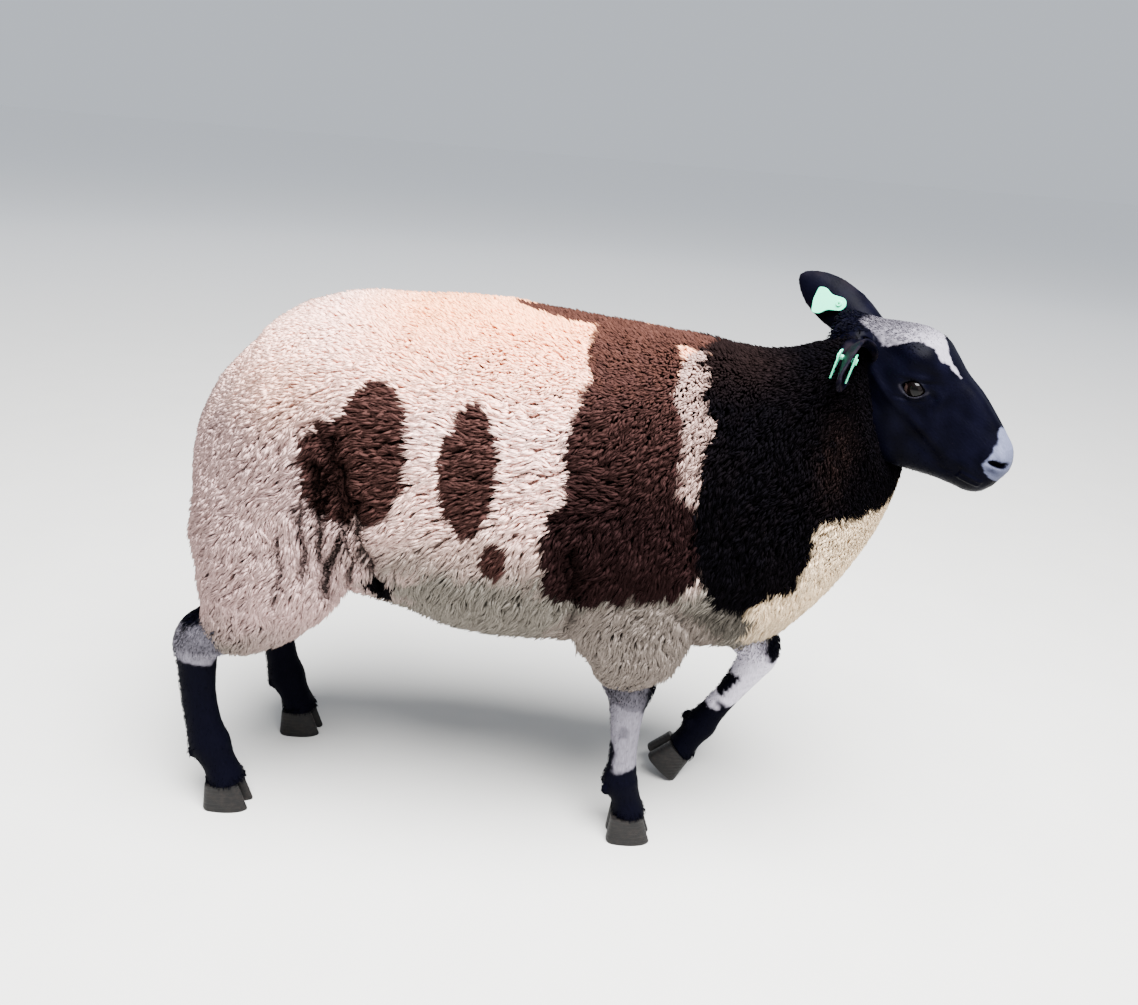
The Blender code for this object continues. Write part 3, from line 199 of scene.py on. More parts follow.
EAR_LENGTH, EAR_THICK = 0.150, 0.0034
EarStation = namedtuple("EarStation", "along width roll")
EAR = [
    EarStation(0.00, 0.078, 250), EarStation(0.14, 0.080, 212), EarStation(0.30, 0.078, 158),
    EarStation(0.46, 0.072, 108), EarStation(0.62, 0.066, 84), EarStation(0.76, 0.055, 68),
    EarStation(0.88, 0.037, 56), EarStation(0.96, 0.018, 48),
]
# The root of the near ear is turned, so that its cup opens downwards; the turn is gone where the tag sits.
EAR_TWIST = {"left": math.radians(0.0), "right": math.radians(75.0)}
EAR_TWIST_END, EAR_TWIST_RUN = 0.46, 0.34
EAR_STEPS, EAR_ACROSS, EAR_HEEL, EAR_TIP_CURL = 6, 28, 0.010, 0.004
EAR_CANAL_ALONG, EAR_CANAL_OPENS, EAR_CANAL_RADIUS = 0.014, 0.008, 0.0145
EAR_ROOT, EAR_BASE_RADIUS = Vector((0.006, 0.040, -0.020)), 0.0210
EAR_WAY = {"left": Vector((-0.982, 0.136, -0.130)), "right": Vector((0.279, -0.959, -0.019))}
EAR_OPENS = {"left": Vector((0.18, 0.93, -0.30)), "right": Vector((0.90, 0.25, 0.34))}

TAG_ROUND, TAG_LENGTH, TAG_WIDE, TAG_THICK = 0.0095, 0.0470, 0.0370, 0.0020
TAG_STUD, TAG_BOSS, TAG_BOSS_TAPER, TAG_BOSS_TALL, TAG_ALONG = 0.0032, 0.0052, 0.7, 0.0032, 0.46
TAG_FLARE = [(0.014, 0.0108), (0.024, TAG_WIDE / 2), (TAG_LENGTH - 0.012, TAG_WIDE / 2)]
TAG_NOTCH = TAG_LENGTH - 0.009
TAG_OFF, TAG_OFF_EAR = {"inner": 0.0120, "outer": 0.0055}, 0.0003
TAG_STEPS, TAG_CORNER, TAG_CORNER_SHARE, TAG_CORNER_STEPS = 20, 0.004, 0.35, 4
TAG_EDGE_IN, TAG_EDGE_TALL, PIN_HOLE = 0.0005, 0.0004, Vector((0.0016, 0.0016, 0.0030))
TAG_HANGS = {
    "left outer": Vector((-0.82, -0.48, -0.29)), "left inner": EAR_WAY["left"],
    "right outer": EAR_WAY["right"], "right inner": EAR_WAY["right"],
}

# The seed of the random draws, and the most locks in one piece of the coat.
SEED = 11
MOST_LOCKS = 19000

# A patch of the coat: an ellipsoid with its middle, its half sizes and its tilt, nose up, in degrees.
Patch = namedtuple("Patch", "colour x y z long deep tall tilt")
COAT_PATCHES = [
    Patch("fawn", 0.150, -0.16, 0.655, 0.040, 0.14, 0.130, 0),
    Patch("brown", -0.318, -0.20, 0.568, 0.030, 0.09, 0.066, 0),
    Patch("brown", -0.256, -0.18, 0.597, 0.045, 0.10, 0.092, 0),
    Patch("brown", -0.291, -0.19, 0.535, 0.024, 0.09, 0.040, 0),
    Patch("brown", -0.299, -0.18, 0.606, 0.018, 0.09, 0.034, 0),
    Patch("brown", -0.135, -0.20, 0.587, 0.037, 0.10, 0.087, 0),
    Patch("brown", -0.097, -0.20, 0.472, 0.017, 0.08, 0.028, 0),
    Patch("brown", 0.062, -0.07, 0.715, 0.064, 0.12, 0.075, 0),
    Patch("brown", 0.056, -0.16, 0.612, 0.074, 0.13, 0.130, 0),
    Patch("brown", 0.072, -0.18, 0.500, 0.112, 0.12, 0.090, 0),
    Patch("brown", 0.022, -0.19, 0.455, 0.056, 0.10, 0.048, 0),
    Patch("brown", 0.018, -0.19, 0.530, 0.050, 0.10, 0.050, 0),
    Patch("brown", 0.000, 0.010, 0.772, 0.100, 0.050, 0.036, -4),
    Patch("brown", 0.150, 0.000, 0.755, 0.080, 0.060, 0.030, 0),
    Patch("brown", 0.062, 0.12, 0.660, 0.076, 0.13, 0.130, 0),
    Patch("brown", 0.020, 0.20, 0.520, 0.070, 0.12, 0.080, 0),
    Patch("brown", -0.200, 0.19, 0.590, 0.048, 0.10, 0.075, 15),
    Patch("brown", -0.345, 0.17, 0.600, 0.050, 0.10, 0.085, -10),
    Patch("brown", -0.105, 0.21, 0.455, 0.024, 0.08, 0.030, 0),
    Patch("black", 0.325, -0.03, 0.680, 0.182, 0.26, 0.160, 0),
    Patch("black", 0.235, -0.14, 0.560, 0.086, 0.14, 0.168, 0),
    Patch("black", 0.250, -0.14, 0.475, 0.076, 0.12, 0.070, 0),
    Patch("black", 0.256, -0.10, 0.426, 0.046, 0.08, 0.053, 0),
    Patch("black", 0.240, 0.14, 0.560, 0.080, 0.14, 0.130, 0),
    Patch("cream", 0.385, -0.04, 0.442, 0.088, 0.20, 0.100, 0),
    Patch("cream", 0.330, -0.06, 0.385, 0.110, 0.20, 0.062, 0),
    Patch("dim", 0.188, -0.13, 0.378, 0.072, 0.14, 0.034, 0),
    # The underside of the chest in grey leg wool: partly dust, partly painted shade.
    Patch("low", 0.090, 0.00, 0.330, 0.135, 0.30, 0.114, 0),
    # A black spot at the groin: painted shadow between thigh and belly.
    Patch("black", -0.247, -0.145, 0.392, 0.022, 0.05, 0.022, 0),
]
RAGGED, RAGGED_FINE = 0.030, 0.035


def linear(code):
    """A hex colour as linear red, green, blue and one."""
    parts = [int(code[i:i + 2], 16) / 255 for i in (1, 3, 5)]
    return [p / 12.92 if p <= 0.04045 else ((p + 0.055) / 1.055) ** 2.4 for p in parts] + [1.0]


def tint(name, description, code):
    return FloatVectorProperty(
        name=name, description=description, subtype="COLOR", size=4, min=0.0, max=1.0, default=linear(code))


def metres(name, description, default):
    """A setting that is a length."""
    return FloatProperty(name=name, description=description, default=default, unit="LENGTH")


class FleeceSettings(bpy.types.PropertyGroup):
    """Sizes of the locks of wool."""
    spacing: metres("Root spacing", "Distance between neighbouring roots", 0.0037)
    skin_voxel: metres("Skin detail", "Size of the faces of the skin under the wool", 0.0070)
    thick: metres("Lock thickness", "Thickness of a lock at its fullest", 0.0046)
    staple_width: metres("Staple width", "Width of a staple of locks that lie together", 0.0080)
    staple_length: metres("Staple length", "Length of a staple along the lie of the wool", 0.0220)
    draw_in: FloatProperty(
        name="Draw", description="How far the locks of a staple draw together", default=0.42,
        subtype="FACTOR")
    crimp: metres("Crimp", "How far a lock waves to each side", 0.0014)
    lumps: FloatProperty(
        name="Lumps", description="How much the depth of the fleece rises and falls", default=0.10,
        subtype="FACTOR")


class HairSettings(bpy.types.PropertyGroup):
    """Sizes of the short hair."""
    thick: metres("Tuft thickness", "Thickness of a tuft of short hair", 0.0006)
    skin_voxel: metres("Head detail", "Size of the faces of the head's skin", 0.0016)
    leg_voxel: metres("Leg detail", "Size of the faces of the lower legs' skin", 0.0024)


class ColourSettings(bpy.types.PropertyGroup):
    """Colours of the coat, eyes, claws and tags."""
    cream_top: tint("Cream, back", "Wool of the back, bleached by the sun", "#f5a97c")
    cream_side: tint("Cream, side", "Wool of the flanks", "#f6ccc0")
    cream_rear: tint("Cream, rear", "Wool of thighs and rump, greyer and pinker", "#b59793")
    # The low cream is darker partly from dust and partly as painted shade under the belly.
    cream_low: tint("Cream, low", "Wool of the belly, dusty", "#706a62")
    leg_wool: tint("Leg wool", "Grey wool of the upper legs", "#756b64")
    brown_top: tint("Brown, back", "Brown wool with sunburnt tips", "#3c251f")
    brown_side: tint("Brown, side", "Brown wool of the patches", "#382421")
    brown_low: tint("Brown, low", "Brown wool of lower shoulder and haunch, darker", "#1c1010")
    black_wool: tint("Black wool", "Wool of the neck", "#050406")
    black_burnt: tint("Black wool, burnt", "Sunburnt tips of the black wool", "#1f1513")
    # The blue cast of the black hair is painted sheen of the sky.
    black_hair: tint("Black hair", "Short hair of head and feet", "#030309")
    white_hair: tint("White hair", "Short white hair of face and legs", "#b8b2c0")
    tag: tint("Tag", "Mint plastic", "#40cc9e")
    horn: tint("Claw", "Dark horn", "#0c0b0b")
    iris: tint("Iris", "Brown of the eye", "#050303")


class StageSettings(bpy.types.PropertyGroup):
    """The light and the floor."""
    key: FloatProperty(name="Key light", description="Strength of the large light above", default=1480.0,
                       unit="POWER")
    fill: FloatProperty(name="Fill light", description="Strength of the light in front", default=35.0,
                        unit="POWER")


def smooth_between(a, b, c, d, t):
    """The Catmull-Rom curve from b to c, for numbers or vectors."""
    return 0.5 * (
        2 * b + (c - a) * t + (2 * a - 5 * b + 4 * c - d) * t * t + (3 * b - a - 3 * c + d) * t * t * t
    )


def refine(rings, steps):
    """The rings with smooth ones set between them, field by field."""
    rings = list(rings)
    kind = type(rings[0])
    out = []
    for i in range(len(rings) - 1):
        four = [rings[max(0, i - 1)], rings[i], rings[i + 1], rings[min(len(rings) - 1, i + 2)]]
        for k in range(steps):
            out.append(kind(*(smooth_between(*values, k / steps) for values in zip(*four))))
    return out + [rings[-1]]


def turns(count):
    """The angles of points evenly round a ring."""
    return [2 * math.pi * k / count for k in range(count)]


def mirrored(vector, side):
    return Vector((vector.x, vector.y * side, vector.z))


def new_object(name, bm, material=None):
    mesh = bpy.data.meshes.new(name)
    bm.to_mesh(mesh)
    bm.free()
    if material:
        mesh.materials.append(material)
    obj = bpy.data.objects.new(name, mesh)
    bpy.context.scene.collection.objects.link(obj)
    return obj


def loft(name, rings, material=None):
    """A closed solid through rings of points, each given the same way round."""
    bm = bmesh.new()
    rows = [[bm.verts.new(p) for p in ring] for ring in rings]
    count = len(rows[0])
    for row, after in zip(rows, rows[1:]):
        for k in range(count):
            bm.faces.new((row[k], row[(k + 1) % count], after[(k + 1) % count], after[k]))
    bm.faces.new(rows[0][::-1])
    bm.faces.new(rows[-1])
    bmesh.ops.recalc_face_normals(bm, faces=bm.faces)
    return new_object(name, bm, material)


def half_space(name, point, across, size=2.0):
    """A large box on the side of a plane that its normal points to."""
    bm = bmesh.new()
    bmesh.ops.create_cube(bm, size=size)
    bmesh.ops.translate(bm, vec=(0, 0, size / 2), verts=bm.verts)
    turn = Vector((0, 0, 1)).rotation_difference(across.normalized()).to_matrix().to_4x4()
    bm.transform(Matrix.Translation(point) @ turn)
    return new_object(name, bm)


def ball(name, at, half, turn=None, segments=48, rings=24):
    """An ellipsoid with these half sizes, turned about its own middle."""
    bm = bmesh.new()
    bmesh.ops.create_uvsphere(bm, u_segments=segments, v_segments=rings, radius=1.0)
    size = Matrix.Diagonal(Vector(half)).to_4x4()
    bm.transform(Matrix.Translation(at) @ (turn or Matrix()).to_4x4() @ size)
    return new_object(name, bm)


def freeze(obj):
    """The object's modifiers and placing, written into its mesh."""
    bpy.context.view_layer.update()
    graph = bpy.context.evaluated_depsgraph_get()
    mesh = bpy.data.meshes.new_from_object(obj.evaluated_get(graph))
    obj.modifiers.clear()
    obj.data = mesh
    mesh.transform(obj.matrix_world)
    obj.matrix_world = Matrix()
    return obj


def boolean(obj, operation, others):
    """Cuts with or joins all the others at once, and removes them."""
    group = bpy.data.collections.new("operands")
    bpy.context.scene.collection.children.link(group)
    for other in others:
        group.objects.link(other)
    modifier = obj.modifiers.new(operation.lower(), "BOOLEAN")
    modifier.operation = operation
    modifier.solver = "MANIFOLD"
    modifier.operand_type = "COLLECTION"
    modifier.collection = group
    freeze(obj)
    for other in others:
        bpy.data.objects.remove(other)
    bpy.data.collections.remove(group)
    return obj


def merge(name, objects):
    """The meshes of the objects in one object, overlapping as they are."""
    bm = bmesh.new()
    for obj in objects:
        bm.from_mesh(obj.data)
        bpy.data.objects.remove(obj)
    return new_object(name, bm)


def voxel(obj, size, smooths=3):
    """The object's overlapping solids fused into one even skin."""
    fuse = obj.modifiers.new("fuse", "REMESH")
    fuse.mode = "VOXEL"
    fuse.voxel_size = size
    if smooths:
        soften = obj.modifiers.new("soften", "SMOOTH")
        soften.factor, soften.iterations = 0.5, smooths
    return freeze(obj)


def body_section(ring, fills):
    """The points round a ring of trunk or neck. fills is the share of the coat's depth it takes in."""
    inset = ring.coat * (1 - fills)
    top = Vector((ring.top_x, ring.y, ring.top_z))
    low = Vector((ring.low_x, ring.y, ring.low_z))
    middle, up = (top + low) / 2, (top - low) / 2
    up -= up.normalized() * inset
    yaw = math.radians(ring.yaw)
    out = Vector((-math.sin(yaw), math.cos(yaw), 0)) * (ring.half_width - inset)
    points = []
    for turn in turns(BODY_SIDES):
        c, s = math.cos(turn), math.sin(turn)
        high = math.copysign(abs(c) ** FULLNESS, c)
        wide = math.copysign(abs(s) ** FULLNESS, s) * (1 - BACK_NARROWING * c)
        points.append(middle + up * high + out * wide)
    return points


def trunk_and_neck(fills):
    rings = refine(BODY.values(), BODY_STEPS)
    sections = [body_section(ring, fills) for ring in rings]
    into = Vector((rings[0].coat * (1 - fills), 0, 0))
    sections[0] = [p + into for p in sections[0]]
    return loft("body", sections)


def leg_middle(ring, side):
    return Vector((ring.x, side * ring.out, ring.z))


def leg_sections(rings, side, fills, last_way=None):
    """Rings of points square to the leg's run. last_way is the run of the last one, where it differs."""
    middles = [leg_middle(ring, side) for ring in rings]
    sections = []
    for i, ring in enumerate(rings):
        run = middles[min(i + 1, len(rings) - 1)] - middles[max(i - 1, 0)]
        if last_way and i == len(rings) - 1:
            run = last_way
        fore = Vector((-run.z, 0, run.x)).normalized()
        inset = ring.coat * (1 - fills)
        sections.append([
            middles[i] + fore * (ring.depth - inset) * math.cos(turn)
            + Vector((0, 1, 0)) * (ring.width - inset) * math.sin(turn)
            for turn in turns(LEG_SIDES)
        ])
    return sections


def foot_turn(swinging):
    """The turn of a foot about its own width, toes down where the leg swings."""
    return Matrix.Rotation(SWINGING_FOOT_TURN if swinging else 0.0, 3, "Y")


def upper_leg(name, fills):
    rings, side, _ = LIMBS[name]
    names = list(rings)
    pair = name.split("_")[1]
    kept = [rings[n] for n in names[:names.index(WOOL_ENDS[pair]) + WOOL_RUNS_ON[pair]]]
    last = kept[-1]
    kept[-1] = last._replace(depth=last.depth * WOOL_END_DRAWN, width=last.width * WOOL_END_DRAWN)
    return loft(name, leg_sections(refine(kept, LEG_STEPS), side, fills))


def lower_leg(name):
    """The short-haired part of a leg with its dewclaws, from inside the wool down to the coronet."""
    rings, side, swinging = LIMBS[name]
    turn = foot_turn(swinging)
    names = list(rings)
    start = names.index(WOOL_ENDS[name.split("_")[1]]) - 1
    kept = [rings[n]._replace(coat=0.0) for n in names[start:]]
    kept[0] = kept[0]._replace(
        depth=kept[1].depth * HAIR_START_DRAWN, width=kept[1].width * HAIR_START_DRAWN)
    sections = leg_sections(refine(kept, LEG_STEPS), side, 1.0, turn @ Vector((0, 0, -1)))
    limb = loft(name, sections)
    fetlock = leg_middle(rings["fetlock"], side)
    claws = [
        ball("dewclaw", fetlock + turn @ mirrored(DEWCLAW_AT, out), DEWCLAW, turn, 16, 10)
        for out in (RIGHT, LEFT)
    ]
    return merge(name, [limb, *claws])


def tail_form(fills):
    inset = TAIL_COAT * (1 - fills)
    sections = []
    for ring in refine(TAIL, TAIL_STEPS):
        back, half = max(TAIL_LEAST_BACK, ring.back - inset), max(TAIL_LEAST_HALF, ring.half_width - inset)
        sections.append([
            Vector((TAIL_ROOT_X + TAIL_SUNK - (back + TAIL_SUNK) * (0.5 - 0.5 * math.cos(turn)),
                    half * math.sin(turn), ring.z))
            for turn in turns(TAIL_SIDES)
        ])
    return loft("tail", sections)


def woolly_form(name, fills, size, smooths):
    """Trunk, neck, upper legs and tail as one skin, at a share of the coat's depth."""
    parts = [trunk_and_neck(fills), tail_form(fills)] + [upper_leg(limb, fills) for limb in LIMBS]
    return voxel(merge(name, parts), size, smooths)


def head_matrix():
    return Matrix.Translation(POLL - BOX_MIDDLE) @ (
        Matrix.Rotation(HEAD_YAW, 4, "Z") @ Matrix.Rotation(HEAD_PITCH, 4, "Y")
    )


def head_section(ring):
    """The points round one ring of the head, a smooth closed curve through its eight corners."""
    half = [(0, ring.top), (ring.brow_w, ring.brow_z), (ring.side_w, ring.side_z), (ring.jaw_w, ring.jaw_z),
            (0, ring.low)]
    corners = [Vector(p) for p in half] + [Vector((-y, z)) for y, z in half[3:0:-1]]
    count, each = len(corners), HEAD_SIDES // len(corners)
    points = []
    for i in range(count):
        four = [corners[(i + j) % count] for j in (-1, 0, 1, 2)]
        for k in range(each):
            y, z = smooth_between(*four, k / each)
            points.append(Vector((ring.x, y, z)))
    return points


def head_half_width(x, z):
    """How far out the head's side is at this place, from its rings."""
    ring = min(refine(HEAD.values(), LOOK_STEPS), key=lambda r: abs(r.x - x))
    return max(p.y for p in head_section(ring) if abs(p.z - z) < LOOK_NEAR)


def almond(side):
    """The cutter that opens the lids: a prism with an almond outline, pointing out of the head."""
    sections = []
    slant = Matrix.Rotation(LID_SLANT, 2)
    for out, size in LID_CUT:
        ring = []
        for turn in turns(LID_SIDES):
            along = math.cos(turn) * LID_LENGTH / 2 * size
            up = math.sin(turn) * LID_HEIGHT / 2 * size * (1 - LID_POINTS * math.cos(turn) ** 2)
            along, up = slant @ Vector((along, up))
            ring.append(mirrored(EYE_AT + Vector((along, out, up)), side))
        sections.append(ring)
    return loft("almond", sections)


def mouth_slot():
    half, up = MOUTH_HALF_WIDTH, MOUTH_GAP / 2
    corners = [(-half, -up), (half, -up), (half, up), (-half, up)]
    return loft("mouth slot", [[Vector((p.x, y, p.y + z)) for y, z in corners] for p in MOUTH])


def lip(side, above):
    """A low roll of the lip along the line of the mouth, half sunk in the muzzle."""
    sections = []
    for point in MOUTH[1:]:
        z = point.y + above * LIP_RADIUS * LIP_RAISED
        out = head_half_width(point.x, z) - LIP_RADIUS * LIP_SUNK
        middle = Vector((point.x, side * out, z))
        sections.append([
            middle + Vector((0, math.cos(turn), math.sin(turn))) * LIP_RADIUS
            for turn in turns(LIP_SIDES)
        ])
    return loft("lip", sections)


def ear_axes(side_name):
    along = EAR_WAY[side_name].normalized()
    opens = EAR_OPENS[side_name]
    opens = (opens - along * opens.dot(along)).normalized()
    return along, opens, along.cross(opens)


def ear_point(side_name, station, across):
    """A point of the ear's middle surface. across runs from -1 to 1 between its edges."""
    along, opens, wide = ear_axes(side_name)
    share = min(1.0, max(0.0, (EAR_TWIST_END - station.along) / EAR_TWIST_RUN))
    twist = EAR_TWIST[side_name] * share * share * (3 - 2 * share)
    c, s = math.cos(twist), math.sin(twist)
    opens, wide = opens * c - wide * s, wide * c + opens * s
    root = mirrored(EAR_ROOT, SIDES[side_name])
    roll = math.radians(station.roll)
    radius = station.width / roll
    turn = across * roll / 2
    middle = root + along * (EAR_LENGTH * station.along) - opens * EAR_HEEL * (1 - station.along)
    return middle + wide * radius * math.sin(turn) + opens * radius * (1 - math.cos(turn))


def ear_station(along):
    return min(refine(EAR, EAR_STEPS), key=lambda station: abs(station.along - along))


def ear_rows(side_name):
    """Rows of points over the ear's middle surface, from its root to its last station."""
    return [
        [ear_point(side_name, station, -1 + 2 * k / EAR_ACROSS) for k in range(EAR_ACROSS + 1)]
        for station in refine(EAR, EAR_STEPS)
    ]


def ear_sheet(side_name):
    """A leaf rolled into a cup at its root: an open sheet, given its thickness."""
    bm = bmesh.new()
    rows = [[bm.verts.new(point) for point in row] for row in ear_rows(side_name)]
    along, opens, _ = ear_axes(side_name)
    tip = bm.verts.new(mirrored(EAR_ROOT, SIDES[side_name]) + along * EAR_LENGTH + opens * EAR_TIP_CURL)
    for row, after in zip(rows, rows[1:]):
        for k in range(EAR_ACROSS):
            bm.faces.new((row[k], row[k + 1], after[k + 1], after[k]))
    for k in range(EAR_ACROSS):
        bm.faces.new((rows[-1][k], rows[-1][k + 1], tip))
    bmesh.ops.recalc_face_normals(bm, faces=bm.faces)
    ear = new_object("ear", bm)
    sheet = ear.modifiers.new("thickness", "SOLIDIFY")
    sheet.thickness, sheet.offset = EAR_THICK, 0.0
    return freeze(ear)


def head_skin(size):
    """Head, lids, lips and ears as one skin, in the head's axes."""
    head = loft("head", [head_section(ring) for ring in refine(HEAD.values(), HEAD_STEPS)])
    joined = [lip(side, above) for side in (RIGHT, LEFT) for above in (1, -1)]
    for side in (RIGHT, LEFT):
        joined.append(ball("lids", mirrored(EYE_AT, side), Vector.Fill(3, EYE_RADIUS + LID_THICK)))
        joined.append(ball("ear base", mirrored(EAR_ROOT, side), Vector.Fill(3, EAR_BASE_RADIUS)))
    boolean(head, "UNION", joined)
    cutters = [mouth_slot(), half_space("behind", HEAD_CUT_AT, -HEAD_CUT_ACROSS)]
    for side_name, side in SIDES.items():
        cutters.append(almond(side))
        cutters.append(ball("socket", mirrored(EYE_AT, side), Vector.Fill(3, EYE_RADIUS + SOCKET_CLEAR)))
        slant = Matrix.Rotation(NOSTRIL_SLANT, 3, "Y") @ Matrix.Rotation(-side * NOSTRIL_FLARE, 3, "Z")
        cutters.append(ball("nostril", mirrored(NOSTRIL_AT, side), NOSTRIL_HALF, slant))
        along, opens, _ = ear_axes(side_name)
        canal = mirrored(EAR_ROOT, side) + along * EAR_CANAL_ALONG + opens * EAR_CANAL_OPENS
        cutters.append(ball("ear canal", canal, Vector.Fill(3, EAR_CANAL_RADIUS)))
    boolean(head, "DIFFERENCE", cutters)
    return voxel(merge("head", [head, *[ear_sheet(side_name) for side_name in SIDES]]), size, HEAD_SMOOTHS)


# A fold of the face: the middle of a soft swell or hollow in the head's axes, its half sizes, its turn
# about the head's width in degrees, and how far it lifts the skin in millimetres.
Fold = namedtuple("Fold", "x y z along out up turn lift")
FOLDS = [
    Fold(0.055, 0.050, -0.088, 0.034, 0.03, 0.036, 0, 2.2),
    Fold(0.070, 0.050, -0.036, 0.036, 0.02, 0.006, -12, 2.2),
    Fold(0.060, 0.050, -0.056, 0.030, 0.02, 0.008, -8, -2.0),
    Fold(0.1232, 0.040, -0.0055, 0.0075, 0.02, 0.0044, -35, -3.0),
    Fold(0.128, 0.040, -0.016, 0.012, 0.02, 0.005, -40, -1.0),
    Fold(0.1345, 0.038, -0.0020, 0.0050, 0.02, 0.0110, 20, 1.8),
    Fold(0.075, 0.046, 0.020, 0.030, 0.02, 0.010, 12, 2.6),
    Fold(0.114, 0.040, 0.012, 0.014, 0.02, 0.007, -20, -2.2),
    Fold(0.150, 0.036, -0.060, 0.032, 0.02, 0.008, -8, -1.6),
    Fold(0.135, 0.040, -0.042, 0.036, 0.02, 0.007, -10, 3.0),
    Fold(0.100, 0.052, 0.006, 0.021, 0.02, 0.0045, 30, 2.0),
    Fold(0.099, 0.052, -0.0002, 0.018, 0.02, 0.0014, 30, -1.5),
    Fold(0.104, 0.050, -0.0245, 0.016, 0.02, 0.0015, 30, -1.3),
    Fold(0.106, 0.050, -0.0290, 0.018, 0.02, 0.0022, 30, 0.6),
    Fold(0.052, 0.045, 0.004, 0.020, 0.02, 0.012, 0, -1.8),
    Fold(0.165, 0.030, 0.002, 0.030, 0.02, 0.008, 4, -1.2),
    Fold(0.234, 0.022, -0.0075, 0.012, 0.012, 0.004, -35, 2.4),
    Fold(0.229, 0.026, -0.024, 0.007, 0.012, 0.006, -20, 1.2),
    Fold(0.250, 0.000, -0.022, 0.010, 0.0018, 0.014, 0, -1.6),
    Fold(0.205, 0.028, -0.044, 0.018, 0.02, 0.007, 12, 1.2),
    Fold(0.168, 0.034, -0.062, 0.028, 0.02, 0.012, -8, -2.0),
    Fold(0.196, 0.030, -0.066, 0.010, 0.02, 0.004, 30, -1.2),
]
# How much deeper than listed the folds and wrinkles are cut, so that they show on black hair.
FOLD_DEPTH = 1.4
# Wrinkles that run down and forward below the eye and its tear pit: places and how deep, in millimetres.
WRINKLES = [(0.1165, -0.016, 0.6), (0.1215, -0.0165, 0.7), (0.126, -0.0155, 0.7), (0.131, -0.015, 0.6),
            (0.108, -0.031, 0.4), (0.1125, -0.0285, 0.45), (0.103, -0.0335, 0.35)]
WRINKLE_LONG, WRINKLE_WIDE, WRINKLE_FROM_Y, HALF_TURN = 0.0075, 0.0012, 0.02, 0.707


def fold_skin(points, normals):
    """The head's points lifted and sunk by the folds on both sides."""
    lift = np.zeros(len(points))
    outward = np.abs(points[:, 1])
    for fold in FOLDS:
        turn = math.radians(fold.turn)
        along, up = in_slanted_axes(points[:, 0] - fold.x, points[:, 2] - fold.z, turn)
        out = (outward - fold.y) / fold.out
        lift += fold.lift / 1000 * np.exp(-((along / fold.along) ** 2 + (up / fold.up) ** 2 + out ** 2))
    for x, z, deep in WRINKLES:
        dx, dz = points[:, 0] - x, points[:, 2] - z
        along, across = (dx - dz) * HALF_TURN / WRINKLE_LONG, (dx + dz) * HALF_TURN / WRINKLE_WIDE
        lift -= deep / 1000 * np.exp(-(along ** 2 + across ** 2)) * (outward > WRINKLE_FROM_Y)
    return points + normals * (lift * FOLD_DEPTH)[:, None]


def read_mesh(obj):
    """The object's points, the normals of its points, and its faces' corners. Then the object goes."""
    mesh = obj.data
    points = np.empty(len(mesh.vertices) * 3, np.float32)
    mesh.vertices.foreach_get("co", points)
    normals = np.empty(len(mesh.vertices) * 3, np.float32)
    mesh.vertex_normals.foreach_get("vector", normals)
    corners = np.empty(len(mesh.loops), np.int32)
    mesh.loops.foreach_get("vertex_index", corners)
    starts = np.empty(len(mesh.polygons), np.int32)
    mesh.polygons.foreach_get("loop_start", starts)
    quads = corners[starts[:, None] + np.arange(4)]
    bpy.data.objects.remove(obj)
    return points.reshape(-1, 3).astype(float), normals.reshape(-1, 3).astype(float), quads


def quad_frame(points, quads):
    """Middles, outward normals and areas of faces with four corners."""
    a, b, c, d = (points[quads[:, k]] for k in range(4))
    across = np.cross(c - a, d - b)
    length = np.linalg.norm(across, axis=1, keepdims=True)
    return (a + b + c + d) / 4, across / np.maximum(length, 1e-12), length[:, 0] / 2


def mesh_object(name, points, faces, materials, colours=None, places=None, slots=None):
    """A smooth-shaded object from arrays: points, lists of faces, colours by point, OFBake by corner."""
    mesh = bpy.data.meshes.new(name)
    corners = np.concatenate([part.ravel() for part in faces])
    sizes = np.concatenate([np.full(len(part), part.shape[1]) for part in faces])
    mesh.vertices.add(len(points))
    mesh.vertices.foreach_set("co", np.ascontiguousarray(points, np.float32).ravel())
    mesh.loops.add(len(corners))
    mesh.loops.foreach_set("vertex_index", corners.astype(np.int32))
    mesh.polygons.add(len(sizes))
    mesh.polygons.foreach_set("loop_start", np.concatenate([[0], np.cumsum(sizes)[:-1]]).astype(np.int32))
    for material in materials:
        mesh.materials.append(material)
    if slots is not None:
        mesh.polygons.foreach_set("material_index", slots.astype(np.int32))
    mesh.update(calc_edges=True)
    if colours is not None:
        layer = mesh.color_attributes.new("markings", "FLOAT_COLOR", "POINT")
        rgba = np.ones((len(points), 4), np.float32)
        rgba[:, :3] = colours
        layer.data.foreach_set("color", rgba.ravel())
    if places is not None:
        layer = mesh.uv_layers.new(name="OFBake")
        layer.uv.foreach_set("vector", places[corners].astype(np.float32).ravel())
    mesh.shade_smooth()
    obj = bpy.data.objects.new(name, mesh)
    bpy.context.scene.collection.objects.link(obj)
    return obj


